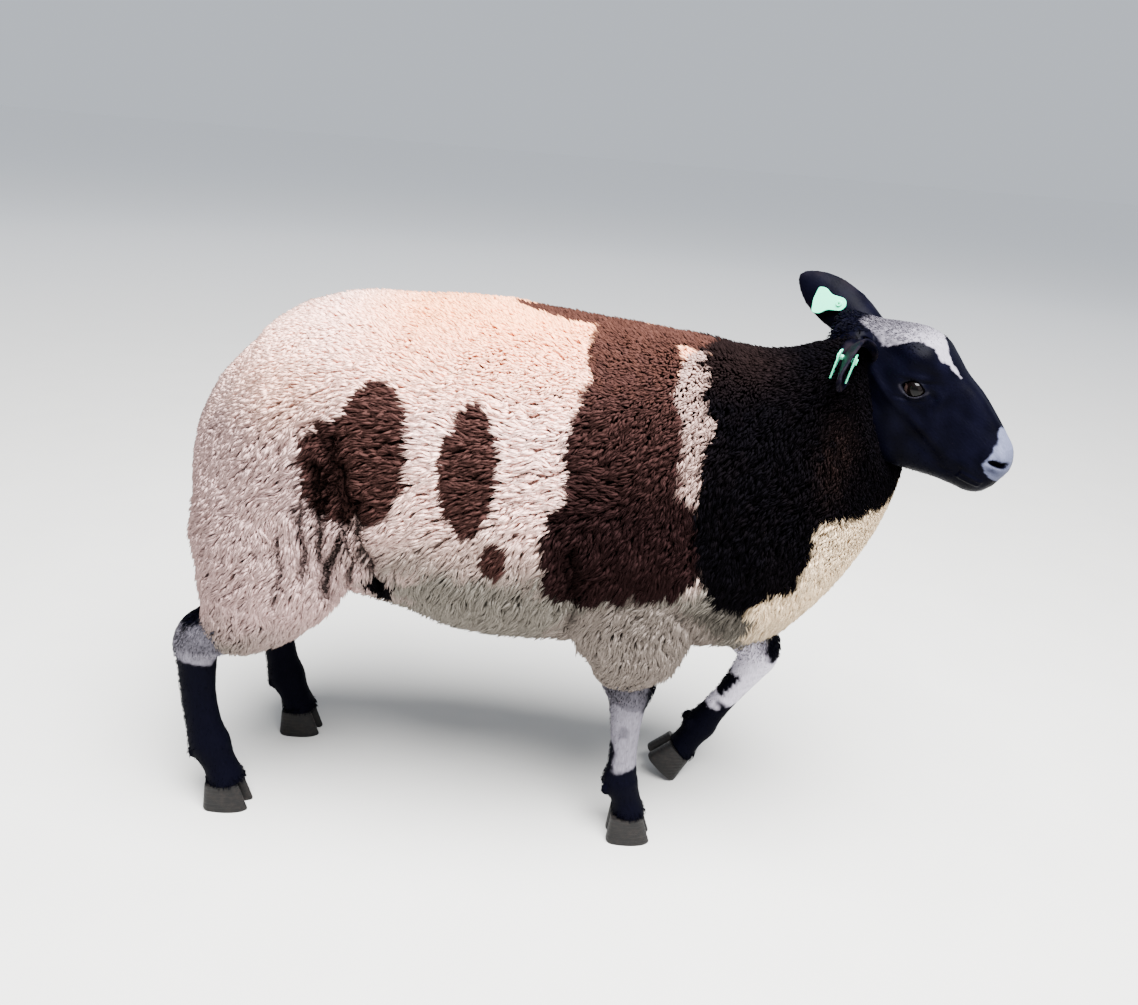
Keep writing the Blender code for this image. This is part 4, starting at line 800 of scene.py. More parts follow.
# The wobbles of coat and markings: from crest to crest in metres, the seed, and how many waves.
Ripple = namedtuple("Ripple", "size seed waves")
RIPPLES = {
    "mottle": Ripple(0.050, 3, 9), "fine mottle": Ripple(0.018, 4, 9),
    "patch edge": Ripple(0.055, 5, 9), "fine patch edge": Ripple(0.018, 6, 24),
    "face edge": Ripple(0.024, 7, 9), "fine face edge": Ripple(0.007, 8, 24),
    "grey poll": Ripple(0.008, 9, 24), "face tone": Ripple(0.030, 10, 9), "ear hair": Ripple(0.020, 11, 9),
    "band edge": Ripple(0.030, 12, 9), "fine band edge": Ripple(0.010, 13, 24),
    "leg speckle": Ripple(0.009, 14, 24),
    "swirl": Ripple(0.110, 21, 9), "fine swirl": Ripple(0.034, 22, 24), "curl": Ripple(0.014, 23, 24),
    "lumps": Ripple(0.060, 24, 9), "crimp": Ripple(0.012, 25, 24), "crease": Ripple(0.030, 26, 9),
}


def ripple(points, name):
    """A smooth wobble over space, mostly between -1 and 1."""
    size, seed, waves = RIPPLES[name]
    draw = np.random.default_rng(seed)
    total = np.zeros(len(points))
    for _ in range(waves):
        way = draw.normal(size=3)
        way /= np.linalg.norm(way) * size * draw.uniform(0.65, 1.5)
        total += np.sin(points @ way * 2 * math.pi + draw.uniform(0, 2 * math.pi))
    return total / math.sqrt(waves / 2) / 1.5


# A change over the body: where it starts and how far it runs. A run below zero goes back or down.
Ramp = namedtuple("Ramp", "start run")


def ramp(values, change, stir=0.0):
    """How far a change has come at these values, from zero to one."""
    return np.clip((values - change.start) / change.run + stir, 0, 1)


def spot(x, z, place, spread):
    """One at a place seen from the side, and less and less around it."""
    return np.exp(-(((x - place[0]) / spread[0]) ** 2 + ((z - place[1]) / spread[1]) ** 2))


def hexes(code):
    """A hex colour as an array of linear red, green and blue."""
    return np.array(linear(code)[:3])


def in_slanted_axes(dx, dz, slant):
    """How far along and above a line that rises by this slant a place is, seen from the side."""
    c, s = math.cos(slant), math.sin(slant)
    return dx * c + dz * s, dz * c - dx * s


def mix(a, b, share):
    share = np.clip(share, 0.0, 1.0)[:, None]
    return a * (1 - share) + b * share


# How the wool's colours change, along the back (X) and up the side (Z).
HAUNCH_X, RUMP_X = Ramp(-0.22, -0.09), Ramp(-0.40, -0.08)
SUNNY_X, CHEST_X = Ramp(-0.36, 0.14), Ramp(0.27, 0.03)
# Lower down, side, thighs and bib turn to the low cream: partly dust, partly painted shade.
SIDE_DUST_SHADE_Z, THIGH_DUST_SHADE_Z, BIB_DUST_SHADE_Z = Ramp(0.430, 0.105), Ramp(0.255, 0.090), Ramp(0.300, 0.090)
HIGH_SIDE_Z, SUNNY_Z, RUMP_SHADE, LEAST_SUN, DUST_SHADE_STIR = Ramp(0.60, 0.10), Ramp(0.64, 0.12), 0.25, 0.25, 0.12
# The warm tinge of the right rump: its place and spread, its share, and what it takes from each colour.
WARM_AT, WARM_SPREAD, WARM_SHARE, WARM_TAKES = (-0.375, 0.655), (0.070, 0.055), 0.7, (0.03, 0.14, 0.28)
DARK_BROWN_Z, DARK_BROWN_FROM_X = Ramp(0.76, -0.22), -0.07
DARK_HAUNCH_X, DARK_HAUNCH = Ramp(-0.290, -0.015), 0.40
BROWN_TOP_Z, BURNT_Z, BURNT_X, BURNT_SHARE = Ramp(0.68, 0.09), Ramp(0.68, 0.05), Ramp(0.28, -0.06), 0.55
THROAT_AT, THROAT_SPREAD, THROAT_SHARE = (0.330, 0.625), (0.026, 0.060), 0.45
# What the upper wool of the bib keeps of the cream, and what the stripe and the shaded wool keep.
BIB_KEEPS, FAWN_KEEPS, DIM_KEEPS = (0.80, 0.93, 0.70), 0.36, 0.45
PATCH_FADE = 0.07


def coat_colours(points, colours):
    """The colour of the wool at these places."""
    def pick(name):
        return np.array(getattr(colours, name)[:3])

    x, y, z = points.T
    mottle, fine = ripple(points, "mottle"), ripple(points, "fine mottle")
    rear, stir = ramp(x, HAUNCH_X, 0.2 * mottle), DUST_SHADE_STIR * mottle
    # Lower on the side, thighs and bib the wool turns to the low cream: partly dust, partly painted shade.
    dusty_shaded = mix(pick("cream_low"), pick("cream_side"), ramp(z + 0.05 * rear, SIDE_DUST_SHADE_Z, stir))
    far = pick("cream_rear") * (1 - RUMP_SHADE * ramp(x, RUMP_X))[:, None]
    cream = mix(dusty_shaded, mix(pick("cream_low"), far, ramp(z, THIGH_DUST_SHADE_Z, stir)), rear)
    cream = mix(cream, pick("cream_side"), ramp(z, HIGH_SIDE_Z, 0.15 * mottle))
    cream = mix(cream, pick("cream_top"), ramp(z, SUNNY_Z) * np.maximum(ramp(x, SUNNY_X), LEAST_SUN))
    warm = WARM_SHARE * (y < 0) * spot(x, z, WARM_AT, WARM_SPREAD)
    cream = cream * (1 - warm[:, None] * np.array(WARM_TAKES))
    brown = mix(pick("brown_side"), pick("brown_low"), np.maximum(
        ramp(z, DARK_BROWN_Z) * (x > DARK_BROWN_FROM_X), DARK_HAUNCH * ramp(x, DARK_HAUNCH_X)))
    brown = mix(brown, pick("brown_top"), ramp(z, BROWN_TOP_Z, 0.20 * fine))
    burnt = BURNT_SHARE * ramp(z, BURNT_Z) * ramp(x, BURNT_X) + 0.05 * np.clip(fine + mottle, 0, 1)
    throat = THROAT_SHARE * spot(x, z, THROAT_AT, THROAT_SPREAD) * (0.85 + 0.45 * fine)
    black = mix(pick("black_wool"), pick("black_burnt"), np.maximum(burnt * 0.7, throat))
    bib = mix(pick("cream_low"), pick("cream_side") * np.array(BIB_KEEPS), ramp(z, BIB_DUST_SHADE_Z, stir))
    whole = np.ones((len(x), 1))
    kinds = {
        "cream": bib, "brown": brown, "black": black, "low": pick("leg_wool") * whole,
        "fawn": pick("cream_side") * whole * FAWN_KEEPS, "dim": pick("cream_low") * whole * DIM_KEEPS,
    }
    out = mix(cream, bib, ramp(x, CHEST_X))
    edge = RAGGED * ripple(points, "patch edge") + RAGGED_FINE * ripple(points, "fine patch edge")
    for patch in COAT_PATCHES:
        along, up = in_slanted_axes(x - patch.x, z - patch.z, math.radians(patch.tilt))
        aside = (y - patch.y) / patch.deep
        reach = np.sqrt((along / patch.long) ** 2 + (up / patch.tall) ** 2 + aside ** 2)
        out = mix(out, kinds[patch.colour], (1.0 - reach + edge) / PATCH_FADE + 0.5)
    return out


# The blaze: for places along the head, how far round it reaches to the right and to the left of the
# middle, counted along the skin, and how white it is.
BLAZE = [
    (-0.016, 0.020, 0.030, 0.00), (-0.008, 0.035, 0.045, 0.16), (0.008, 0.048, 0.055, 0.16),
    (0.022, 0.063, 0.062, 0.17), (0.034, 0.076, 0.066, 0.21), (0.048, 0.066, 0.056, 0.27),
    (0.064, 0.049, 0.036, 0.31), (0.077, 0.046, 0.004, 0.36), (0.092, 0.045, -0.014, 0.38),
    (0.104, 0.037, -0.0205, 0.40), (0.117, 0.029, -0.0225, 0.40), (0.128, 0.0225, -0.0225, 0.36),
]
# The white of the nose: for heights in the head's axes, how far back along the head it starts.
NOSE_EDGE = [(-0.0360, 0.262), (-0.0335, 0.243), (-0.0314, 0.232), (-0.0265, 0.2257), (-0.0200, 0.2219),
             (-0.0070, 0.2211), (0.0030, 0.2178), (0.0120, 0.2087), (0.0200, 0.2050)]
NOSE_WHITE, WING_GREY = 0.17, 0.045
# How far the edges of blaze and nose wander and fade, and how low on the head the blaze may reach.
FACE_WANDER, BLAZE_FADE, NOSE_FADE, BLAZE_LOW_Z = (0.0022, 0.0016), 0.0035, 0.0030, -0.05
# Behind the brow the white is mixed with grey: where that starts, going back, and its share.
GREY_POLL_X, GREY_POLL_SHARE = Ramp(0.075, -0.03), 0.65
# The dark round a nostril: its half sizes, how it slants, and from where it fades.
HOLE_HALF, HOLE_SLANT, HOLE_FADE = (0.019, 0.014, 0.0062), 0.4, Ramp(0.72, 0.30)
# The grey of a nostril's wing: its place from the nostril, its spread, and where on the nose it can be.
WING_AT, WING_SPREAD, WING_FROM_X, WING_FROM_Y = (0.001, -0.0095), (0.010, 0.0045), 0.17, 0.004
# The rims of the lids are bare and grey, the lower one paler.
RIM_AT, RIM_WIDE, RIM_FROM_Y, RIM_LOW_Z, LOWER_RIM, UPPER_RIM = 1.10, 0.10, 0.03, 0.001, 0.022, 0.003
EAR_HAIR, EAR_HAIR_Y, EAR_HAIR_SHARE = "#2a2326", Ramp(0.055, 0.02), 0.25
# The white of the nose is bluer than that of the blaze.
BLUER, BLUER_FROM_X = (0.82, 0.96, 1.25), 0.19


def lid_reach(x, z, eye):
    """How far out from the eye a place is, one being the edge of its opening, and how far above its slant."""
    along, up = in_slanted_axes(x - eye.x, z - eye.z, LID_SLANT)
    turn = np.arctan2(up / LID_HEIGHT, along / LID_LENGTH)
    tall = LID_HEIGHT * (1 - LID_POINTS * np.cos(turn) ** 2)
    return np.sqrt((along / LID_LENGTH * 2) ** 2 + (up / tall * 2) ** 2), up


def face_colours(points, colours):
    """The colour of the short hair of the head, from points in the head's axes."""
    x, y, z = points.T
    edge = FACE_WANDER[0] * ripple(points, "face edge") + FACE_WANDER[1] * ripple(points, "fine face edge")
    crest = np.interp(x, [ring.x for ring in HEAD.values()], [ring.top for ring in HEAD.values()])
    round_to = y + np.sign(y) * np.maximum(crest - z, 0)
    along, right, left, share = np.array(BLAZE).T
    inside = np.minimum(round_to + np.interp(x, along, right), np.interp(x, along, left) - round_to)
    inside = np.minimum(inside, np.minimum(np.minimum(x - along[0], along[-1] - x), z - BLAZE_LOW_Z))
    white = np.clip((inside + edge) / BLAZE_FADE + 0.5, 0, 1) * np.interp(x, along, share)
    grey = np.clip(ripple(points, "grey poll") * 0.5 + 0.35, 0, 1) * GREY_POLL_SHARE
    white *= 1 - grey * ramp(x, GREY_POLL_X)
    heights, starts = np.array(NOSE_EDGE).T
    nose = np.clip((x - np.interp(z, heights, starts) + edge * 0.6) / NOSE_FADE + 0.5, 0, 1)
    white = np.maximum(white, nose * NOSE_WHITE)
    for side in (RIGHT, LEFT):
        hole = mirrored(NOSTRIL_AT, side)
        dx, dy, dz = x - hole.x, y - hole.y, z - hole.z
        off = zip((dx, dy, dz - HOLE_SLANT * dx), HOLE_HALF)
        white *= ramp(np.sqrt(sum((gap / half) ** 2 for gap, half in off)), HOLE_FADE)
        wing = NOSE_WHITE + (WING_GREY - NOSE_WHITE) * spot(dx, dz, WING_AT, WING_SPREAD)
        by_nostril = (y * side > WING_FROM_Y) & (x > WING_FROM_X)
        white = np.where(by_nostril, np.minimum(white, wing), white)
        reach, up = lid_reach(x, z, mirrored(EYE_AT, side))
        rim = np.exp(-((reach - RIM_AT) / RIM_WIDE) ** 2) * (y * side > RIM_FROM_Y)
        white = np.maximum(white, rim * np.where(up < RIM_LOW_Z, LOWER_RIM, UPPER_RIM))
    black = np.array(colours.black_hair[:3]) * (1 + 0.25 * ripple(points, "face tone"))[:, None]
    inside = ramp(np.abs(y), EAR_HAIR_Y) * np.clip(ripple(points, "ear hair") * 0.5 + 0.4, 0, 1)
    black = mix(black, hexes(EAR_HAIR), inside * EAR_HAIR_SHARE)
    pale = np.array(colours.white_hair[:3]) * np.where(x[:, None] > BLUER_FROM_X, BLUER, 1.0)
    return mix(black, pale, white)


# Bands of hair down each leg: which leg, the height it starts and ends, the way round the leg that it
# faces (0 ahead, 90 out, 180 behind) and its half spread in degrees, and how white it is.
Band = namedtuple("Band", "leg low high faces spread white")
BANDS = [
    Band("leg_fore_right", 0.125, 0.232, 0, 400, 0.26), Band("leg_fore_right", 0.228, 0.400, 0, 400, 0.14),
    Band("leg_fore_right", 0.224, 0.300, -20, 62, 0.0), Band("leg_fore_right", 0.120, 0.170, 180, 40, 0.0),
    Band("leg_fore_right", 0.178, 0.198, 100, 24, 0.15),
    Band("leg_fore_left", 0.150, 0.400, 0, 400, 1.0), Band("leg_fore_left", 0.240, 0.300, 0, 75, 0.0),
    Band("leg_fore_left", 0.165, 0.205, 180, 65, 0.0),
    Band("leg_hind_right", 0.249, 0.330, 70, 125, 0.17), Band("leg_hind_right", 0.249, 0.270, 70, 125, 0.28),
    Band("leg_hind_right", 0.305, 0.360, 180, 60, 0.0),
    Band("leg_hind_left", 0.250, 0.320, 20, 70, 0.30),
]
# How far a band's edge wanders and fades, in metres, and how it does so round the leg, in degrees.
BAND_WANDER, BAND_FADE, WANDER_ROUND, FADE_ROUND = (0.005, 0.0015), 0.007, 1500, 18


def leg_of(points):
    """For each point: the index of the nearest leg, which way round it lies, and how far off its middle."""
    best = np.full(len(points), np.inf)
    which, turn = np.zeros(len(points), int), np.zeros(len(points))
    for index, (name, (_, side, _)) in enumerate(LIMBS.items()):
        middles, _ = leg_axis(name)
        gaps = np.linalg.norm(points[:, None] - middles[None], axis=2)
        near = gaps.argmin(axis=1)
        reach = gaps[np.arange(len(points)), near]
        off = points - middles[near]
        better = reach < best
        best[better], which[better] = reach[better], index
        turn[better] = np.degrees(np.arctan2(off[:, 1] * side, off[:, 0]))[better]
    return which, turn, best


def leg_colours(points, colours):
    """The colour of the short hair of the lower legs."""
    which, turn, _ = leg_of(points)
    wave = BAND_WANDER[0] * ripple(points, "band edge") + BAND_WANDER[1] * ripple(points, "fine band edge")
    white = np.zeros(len(points))
    z = points[:, 2] + wave
    for band in BANDS:
        inside = ramp(z, Ramp(band.low, BAND_FADE), 0.5) * ramp(z, Ramp(band.high, -BAND_FADE), 0.5)
        off = np.abs((turn - band.faces + 180) % 360 - 180) + wave * WANDER_ROUND
        inside *= ramp(off, Ramp(band.spread, -FADE_ROUND), 0.5) * (which == list(LIMBS).index(band.leg))
        white = white * (1 - inside) + band.white * inside
    speckle = np.clip(ripple(points, "leg speckle") * 0.12 + 0.03, 0, 0.15)
    return mix(np.array(colours.black_hair[:3]), np.array(colours.white_hair[:3]), white * (1 - speckle))


def add_node(tree, kind, settings=None, links=None, values=None):
    """A node of a material: its settings, its input values, and what its inputs are linked to."""
    node = tree.nodes.new("ShaderNode" + kind)
    for key, value in (settings or {}).items():
        setattr(node, key, value)
    for key, value in (values or {}).items():
        node.inputs[key].default_value = value
    for key, socket in (links or {}).items():
        tree.links.new(socket, node.inputs[key])
    return node


def principled(name, roughness, **values):
    material = bpy.data.materials.new(name)
    material.use_nodes = True
    tree = material.node_tree
    shader = tree.nodes["Principled BSDF"]
    shader.inputs["Roughness"].default_value = roughness
    for key, value in values.items():
        shader.inputs[key].default_value = value
    return material, tree, shader


def coat_finish(tree, shader, streaks, tones, bump):
    """The mesh's markings under raised streaks, darker and paler: their tones, strength and depth."""
    marks = add_node(tree, "Attribute", {"attribute_name": "markings"})
    tone = add_node(tree, "MapRange", links={"Value": streaks.outputs["Fac"]},
                    values={"From Min": 0.3, "From Max": 0.7, "To Min": tones[0], "To Max": tones[1]})
    tinted = add_node(tree, "Mix", {"data_type": "RGBA", "blend_type": "MULTIPLY"},
                      {"A": marks.outputs["Color"], "B": tone.outputs["Result"]}, {"Factor": 1.0})
    tree.links.new(tinted.outputs["Result"], shader.inputs["Base Color"])
    raised = add_node(tree, "Bump", links={"Height": streaks.outputs["Fac"]},
                      values={"Strength": bump[0], "Distance": bump[1]})
    tree.links.new(raised.outputs["Normal"], shader.inputs["Normal"])


def wool_material():
    """Sheep's wool: matt crimped fibres."""
    material, tree, shader = principled("wool", 0.92, **{"Specular IOR Level": 0.01})
    place = add_node(tree, "TexCoord")
    # Single fibres of about 0.03 mm can't show, so the streaks are drawn 1.2 mm apart.
    fibres = add_node(tree, "TexNoise", links={"Vector": place.outputs["Object"]},
                      values={"Scale": 1 / 0.0024, "Detail": 2.0, "Roughness": 0.6})
    coat_finish(tree, shader, fibres, (0.80, 1.14), (0.35, 0.0006))
    return material


def hair_material(name, streaks, turn=(0.0, 0.0, 0.0), roughness=0.38):
    """Short hair lying flat, as on a sheep's face: glossy along the hairs, with streaks a millimetre wide."""
    material, tree, shader = principled(name, roughness, **{"Specular IOR Level": 0.012})
    place = add_node(tree, "TexCoord")
    turned = add_node(tree, "Mapping", {"vector_type": "TEXTURE"},
                      {"Vector": place.outputs["Object"]}, {"Rotation": turn})
    drawn = add_node(tree, "Mapping", links={"Vector": turned.outputs["Vector"]},
                     values={"Scale": streaks})
    hairs = add_node(tree, "TexNoise", links={"Vector": drawn.outputs["Vector"]},
                     values={"Scale": 1.0, "Detail": 3.0, "Roughness": 0.65})
    coat_finish(tree, shader, hairs, (0.78, 1.20), (0.6, 0.0005))
    return material


def plastic_material(colour):
    """Injection-moulded polyurethane: even colour, soft gloss, a faint moulded grain."""
    material, tree, shader = principled("moulded polyurethane", 0.42, **{
        "Base Color": colour, "IOR": 1.5, "Subsurface Weight": 0.1, "Subsurface Scale": 0.002})
    place = add_node(tree, "TexCoord")
    grain = add_node(tree, "TexNoise", links={"Vector": place.outputs["Object"]},
                     values={"Scale": 1 / 0.0015, "Detail": 2.0})
    bump = add_node(tree, "Bump", links={"Height": grain.outputs["Fac"]},
                    values={"Strength": 0.15, "Distance": 0.0002})
    tree.links.new(bump.outputs["Normal"], shader.inputs["Normal"])
    return material


def horn_material(colour):
    """Keratin of the claws: dark, half matt, in growth rings about 3 mm apart with scuffed edges."""
    material, tree, shader = principled("claw horn", 0.5, **{"IOR": 1.54, "Specular IOR Level": 0.15})
    place = add_node(tree, "TexCoord")
    rings = add_node(tree, "TexWave", {"bands_direction": "Z"}, {"Vector": place.outputs["Object"]},
                     {"Scale": 1 / 0.0032 / 6.28, "Distortion": 2.0, "Detail": 2.0, "Detail Scale": 60.0})
    scuffs = add_node(tree, "TexNoise", links={"Vector": place.outputs["Object"]},
                      values={"Scale": 1 / 0.006, "Detail": 4.0})
    worn = add_node(tree, "MapRange", links={"Value": scuffs.outputs["Fac"]},
                    values={"From Min": 0.45, "From Max": 0.75})
    tone = add_node(tree, "Mix", {"data_type": "RGBA"}, {"Factor": worn.outputs["Result"]},
                    {"A": colour, "B": linear("#1a1614")})
    tree.links.new(tone.outputs["Result"], shader.inputs["Base Color"])
    bump = add_node(tree, "Bump", links={"Height": rings.outputs["Fac"]},
                    values={"Strength": 0.5, "Distance": 0.0005})
    tree.links.new(bump.outputs["Normal"], shader.inputs["Normal"])
    return material


def eye_material():
    """A wet eye: colours of iris and pupil on a smooth, glossy ball."""
    material, tree, shader = principled("wet eye", 0.12, IOR=1.20)
    marks = add_node(tree, "Attribute", {"attribute_name": "markings"})
    tree.links.new(marks.outputs["Color"], shader.inputs["Base Color"])
    return material


def floor_material():
    """Plain matt plaster with a very faint mottle; painted light makes it paler far out, where it meets the
    sky of the studio.
    """
    material, tree, shader = principled("plaster floor", 0.9)
    place = add_node(tree, "TexCoord")
    mottle = add_node(tree, "TexNoise", values={"Scale": 6.0, "Detail": 3.0},
                      links={"Vector": place.outputs["Object"]})
    tone = add_node(tree, "Mix", {"data_type": "RGBA"},
                    values={"A": linear("#b5b4b1"), "B": linear("#bcbbb8")},
                    links={"Factor": mottle.outputs["Fac"]})
    away = add_node(tree, "VectorMath", {"operation": "LENGTH"},
                    links={"Vector": place.outputs["Object"]})
    far = add_node(tree, "MapRange", {"interpolation_type": "SMOOTHSTEP"},
                   values={"From Min": 1.6, "From Max": 8.0}, links={"Value": away.outputs["Value"]})
    paler = add_node(tree, "Mix", {"data_type": "RGBA"}, values={"B": (0.97, 0.97, 0.97, 1.0)},
                     links={"Factor": far.outputs["Result"], "A": tone.outputs["Result"]})
    tree.links.new(paler.outputs["Result"], shader.inputs["Base Color"])
    return material


# What the operators hand on to each other: the meshes to root wool and hair on, and the materials.
made = {}


def axis_through(middles):
    """A line through these places, and how far along it each one lies."""
    middles = np.array(middles)
    steps = np.linalg.norm(np.diff(middles, axis=0), axis=1)
    return middles, np.concatenate([[0.0], np.cumsum(steps)])


def body_axis():
    """The line through the middles of trunk and neck."""
    return axis_through([
        ((ring.top_x + ring.low_x) / 2 - BOX_MIDDLE.x, ring.y - BOX_MIDDLE.y, (ring.top_z + ring.low_z) / 2)
        for ring in refine(BODY.values(), 8)
    ])


def leg_axis(name):
    """The line through the middle of a leg, from the top down."""
    rings, side, _ = LIMBS[name]
    return axis_through([leg_middle(ring, side) - BOX_MIDDLE for ring in refine(rings.values(), LOOK_STEPS)])


def tail_axis():
    """The upright line through the tail."""
    heights = np.linspace(0.60, 0.30, 12)
    return axis_through([(TAIL_ROOT_X + 0.010 - BOX_MIDDLE.x, 0.0, height) for height in heights])


def head_axis():
    """The line through the head, from behind the poll to past the nose."""
    turn = head_matrix()
    return axis_through([turn @ Vector((k, 0, -0.04 - k * 0.1)) for k in np.linspace(-0.06, 0.26, 30)])


# Points unwrapped at once, the edge that an unwrap keeps free, and the width of a lock on it.
UNWRAP_AT_ONCE, UNWRAP_EDGE, LOCK_ON_UNWRAP = 20000, 0.01, 0.003


def unwrap(points, axis):
    """Where places on the skin lie on an unwrap round an axis: along it, and round it, each from 0 to 1."""
    middles, run = axis
    near = np.concatenate([
        np.linalg.norm(part[:, None] - middles[None], axis=2).argmin(axis=1)
        for part in np.array_split(points, math.ceil(len(points) / UNWRAP_AT_ONCE))
    ])
    off = points - middles[near]
    ahead = np.gradient(middles, axis=0)[near]
    ahead /= np.linalg.norm(ahead, axis=1, keepdims=True)
    side = np.array([0.0, 1.0, 0.0]) - ahead * ahead[:, 1:2]
    side /= np.linalg.norm(side, axis=1, keepdims=True)
    up = np.cross(ahead, side)
    along = run[near] + (off * ahead).sum(axis=1)
    turn = np.arctan2((off * side).sum(axis=1), (off * up).sum(axis=1)) / (2 * math.pi) + 0.5
    share = np.stack([(along - along.min()) / np.ptp(along), turn], axis=1)
    return UNWRAP_EDGE + (1 - 2 * UNWRAP_EDGE) * share


def unit(vectors):
    return vectors / np.maximum(np.linalg.norm(vectors, axis=1, keepdims=True), 1e-9)


# A lock has three corners at its root, three at its bend, and a tip. Its thickness changes on the way, its
# tone darkens towards the root as painted shade, and no lock grows along SIDEWAYS.
LOCK_CORNERS = 7
LOCK_SIDES = np.array([[0, 1, 4, 3], [1, 2, 5, 4], [2, 0, 3, 5]])
LOCK_ENDS = np.array([[3, 4, 6], [4, 5, 6], [5, 3, 6], [2, 1, 0]])
ROOT_THICK, BEND_THICK, BEND_SHADE, TIP_SHADE = 0.7, 1.0, 0.94, 1.06
SIDEWAYS = np.array([0.31, 0.17, 0.93])


def make_locks(name, roots, bends, tips, thick, tones, root_shade, places, material):
    """Solid three-sided locks from a root by a bend to a tip, as pieces of limited size."""
    draw = np.random.default_rng(SEED + len(name))
    pieces = max(1, math.ceil(len(roots) / MOST_LOCKS))
    shades = np.array([root_shade] * 3 + [BEND_SHADE] * 3 + [TIP_SHADE])
    patch = np.stack([np.arange(LOCK_CORNERS) % 3, shades], axis=1)
    patch = ((patch - patch.min(axis=0)) / np.ptp(patch, axis=0) - 0.5) * LOCK_ON_UNWRAP
    for piece, index in enumerate(np.array_split(np.arange(len(roots)), pieces)):
        root, bend, tip = roots[index], bends[index], tips[index]
        spin = draw.uniform(0, 2 * math.pi, len(index))
        rows = []
        for here, ahead, share in ((root, bend, ROOT_THICK), (bend, tip, BEND_THICK)):
            way = unit(ahead - here)
            side = unit(np.cross(way, SIDEWAYS))
            over = np.cross(way, side)
            for corner in turns(3):
                turn = spin + corner
                off = side * np.cos(turn)[:, None] + over * np.sin(turn)[:, None]
                rows.append(here + off * (thick[index] / 2 * share)[:, None])
        points = np.stack([*rows, tip], axis=1).reshape(-1, 3)
        base = (np.arange(len(index)) * LOCK_CORNERS)[:, None]
        faces = [np.concatenate([base + face for face in part]) for part in (LOCK_SIDES, LOCK_ENDS)]
        colours = (tones[index][:, None] * shades[None, :, None]).reshape(-1, 3)
        where = (places[index][:, None] + patch[None]).reshape(-1, 2)
        title = name if pieces == 1 else "{}_{}".format(name, piece + 1)
        obj = mesh_object(title, points, faces, [material], np.clip(colours, 0, 1), where)
        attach(obj, "root")


def nearest(tree, points):
    """For each point: its distance to the nearest place of a surface, the normal there, and that place."""
    gaps, normals, places = np.empty(len(points)), np.empty((len(points), 3)), np.empty((len(points), 3))
    for i, point in enumerate(points):
        places[i], normals[i], _, gaps[i] = tree.find_nearest(point)
    return gaps, normals, places


def above(tree, points):
    """How far the points stand above the surface, and the nearest places of it with their normals."""
    _, facing, places = nearest(tree, points)
    return ((points - places) * facing).sum(axis=1), facing, places


def tree_of(points, quads):
    return BVHTree.FromPolygons(points.tolist(), quads.tolist())


def join_meshes(meshes):
    """Meshes given as faces and any arrays by point, as one mesh."""
    starts = np.cumsum([0] + [len(mesh[1]) for mesh in meshes[:-1]])
    quads = np.concatenate([mesh[0] + start for mesh, start in zip(meshes, starts)])
    return quads, *(np.concatenate(arrays) for arrays in list(zip(*meshes))[1:])


# The face size of the surface that the wool reaches out to, and how often each skin is smoothed.
REACH_VOXEL, ROOTS_SMOOTHS, SKIN_SMOOTHS, REACH_SMOOTHS = 0.009, 5, 3, 2
# How much of the wool's colour its skin keeps, darker as painted shade under the locks, and how much more
# painted shade a crease takes.
SKIN_SHADE, SKIN_CREASE_SHADE = 0.85, 0.7
# Sizes of the streaks of hair in metres: along the face, down the legs, and across both.
FACE_STREAK, LEG_STREAK, STREAK_WIDE = 0.009, 0.010, 0.0016


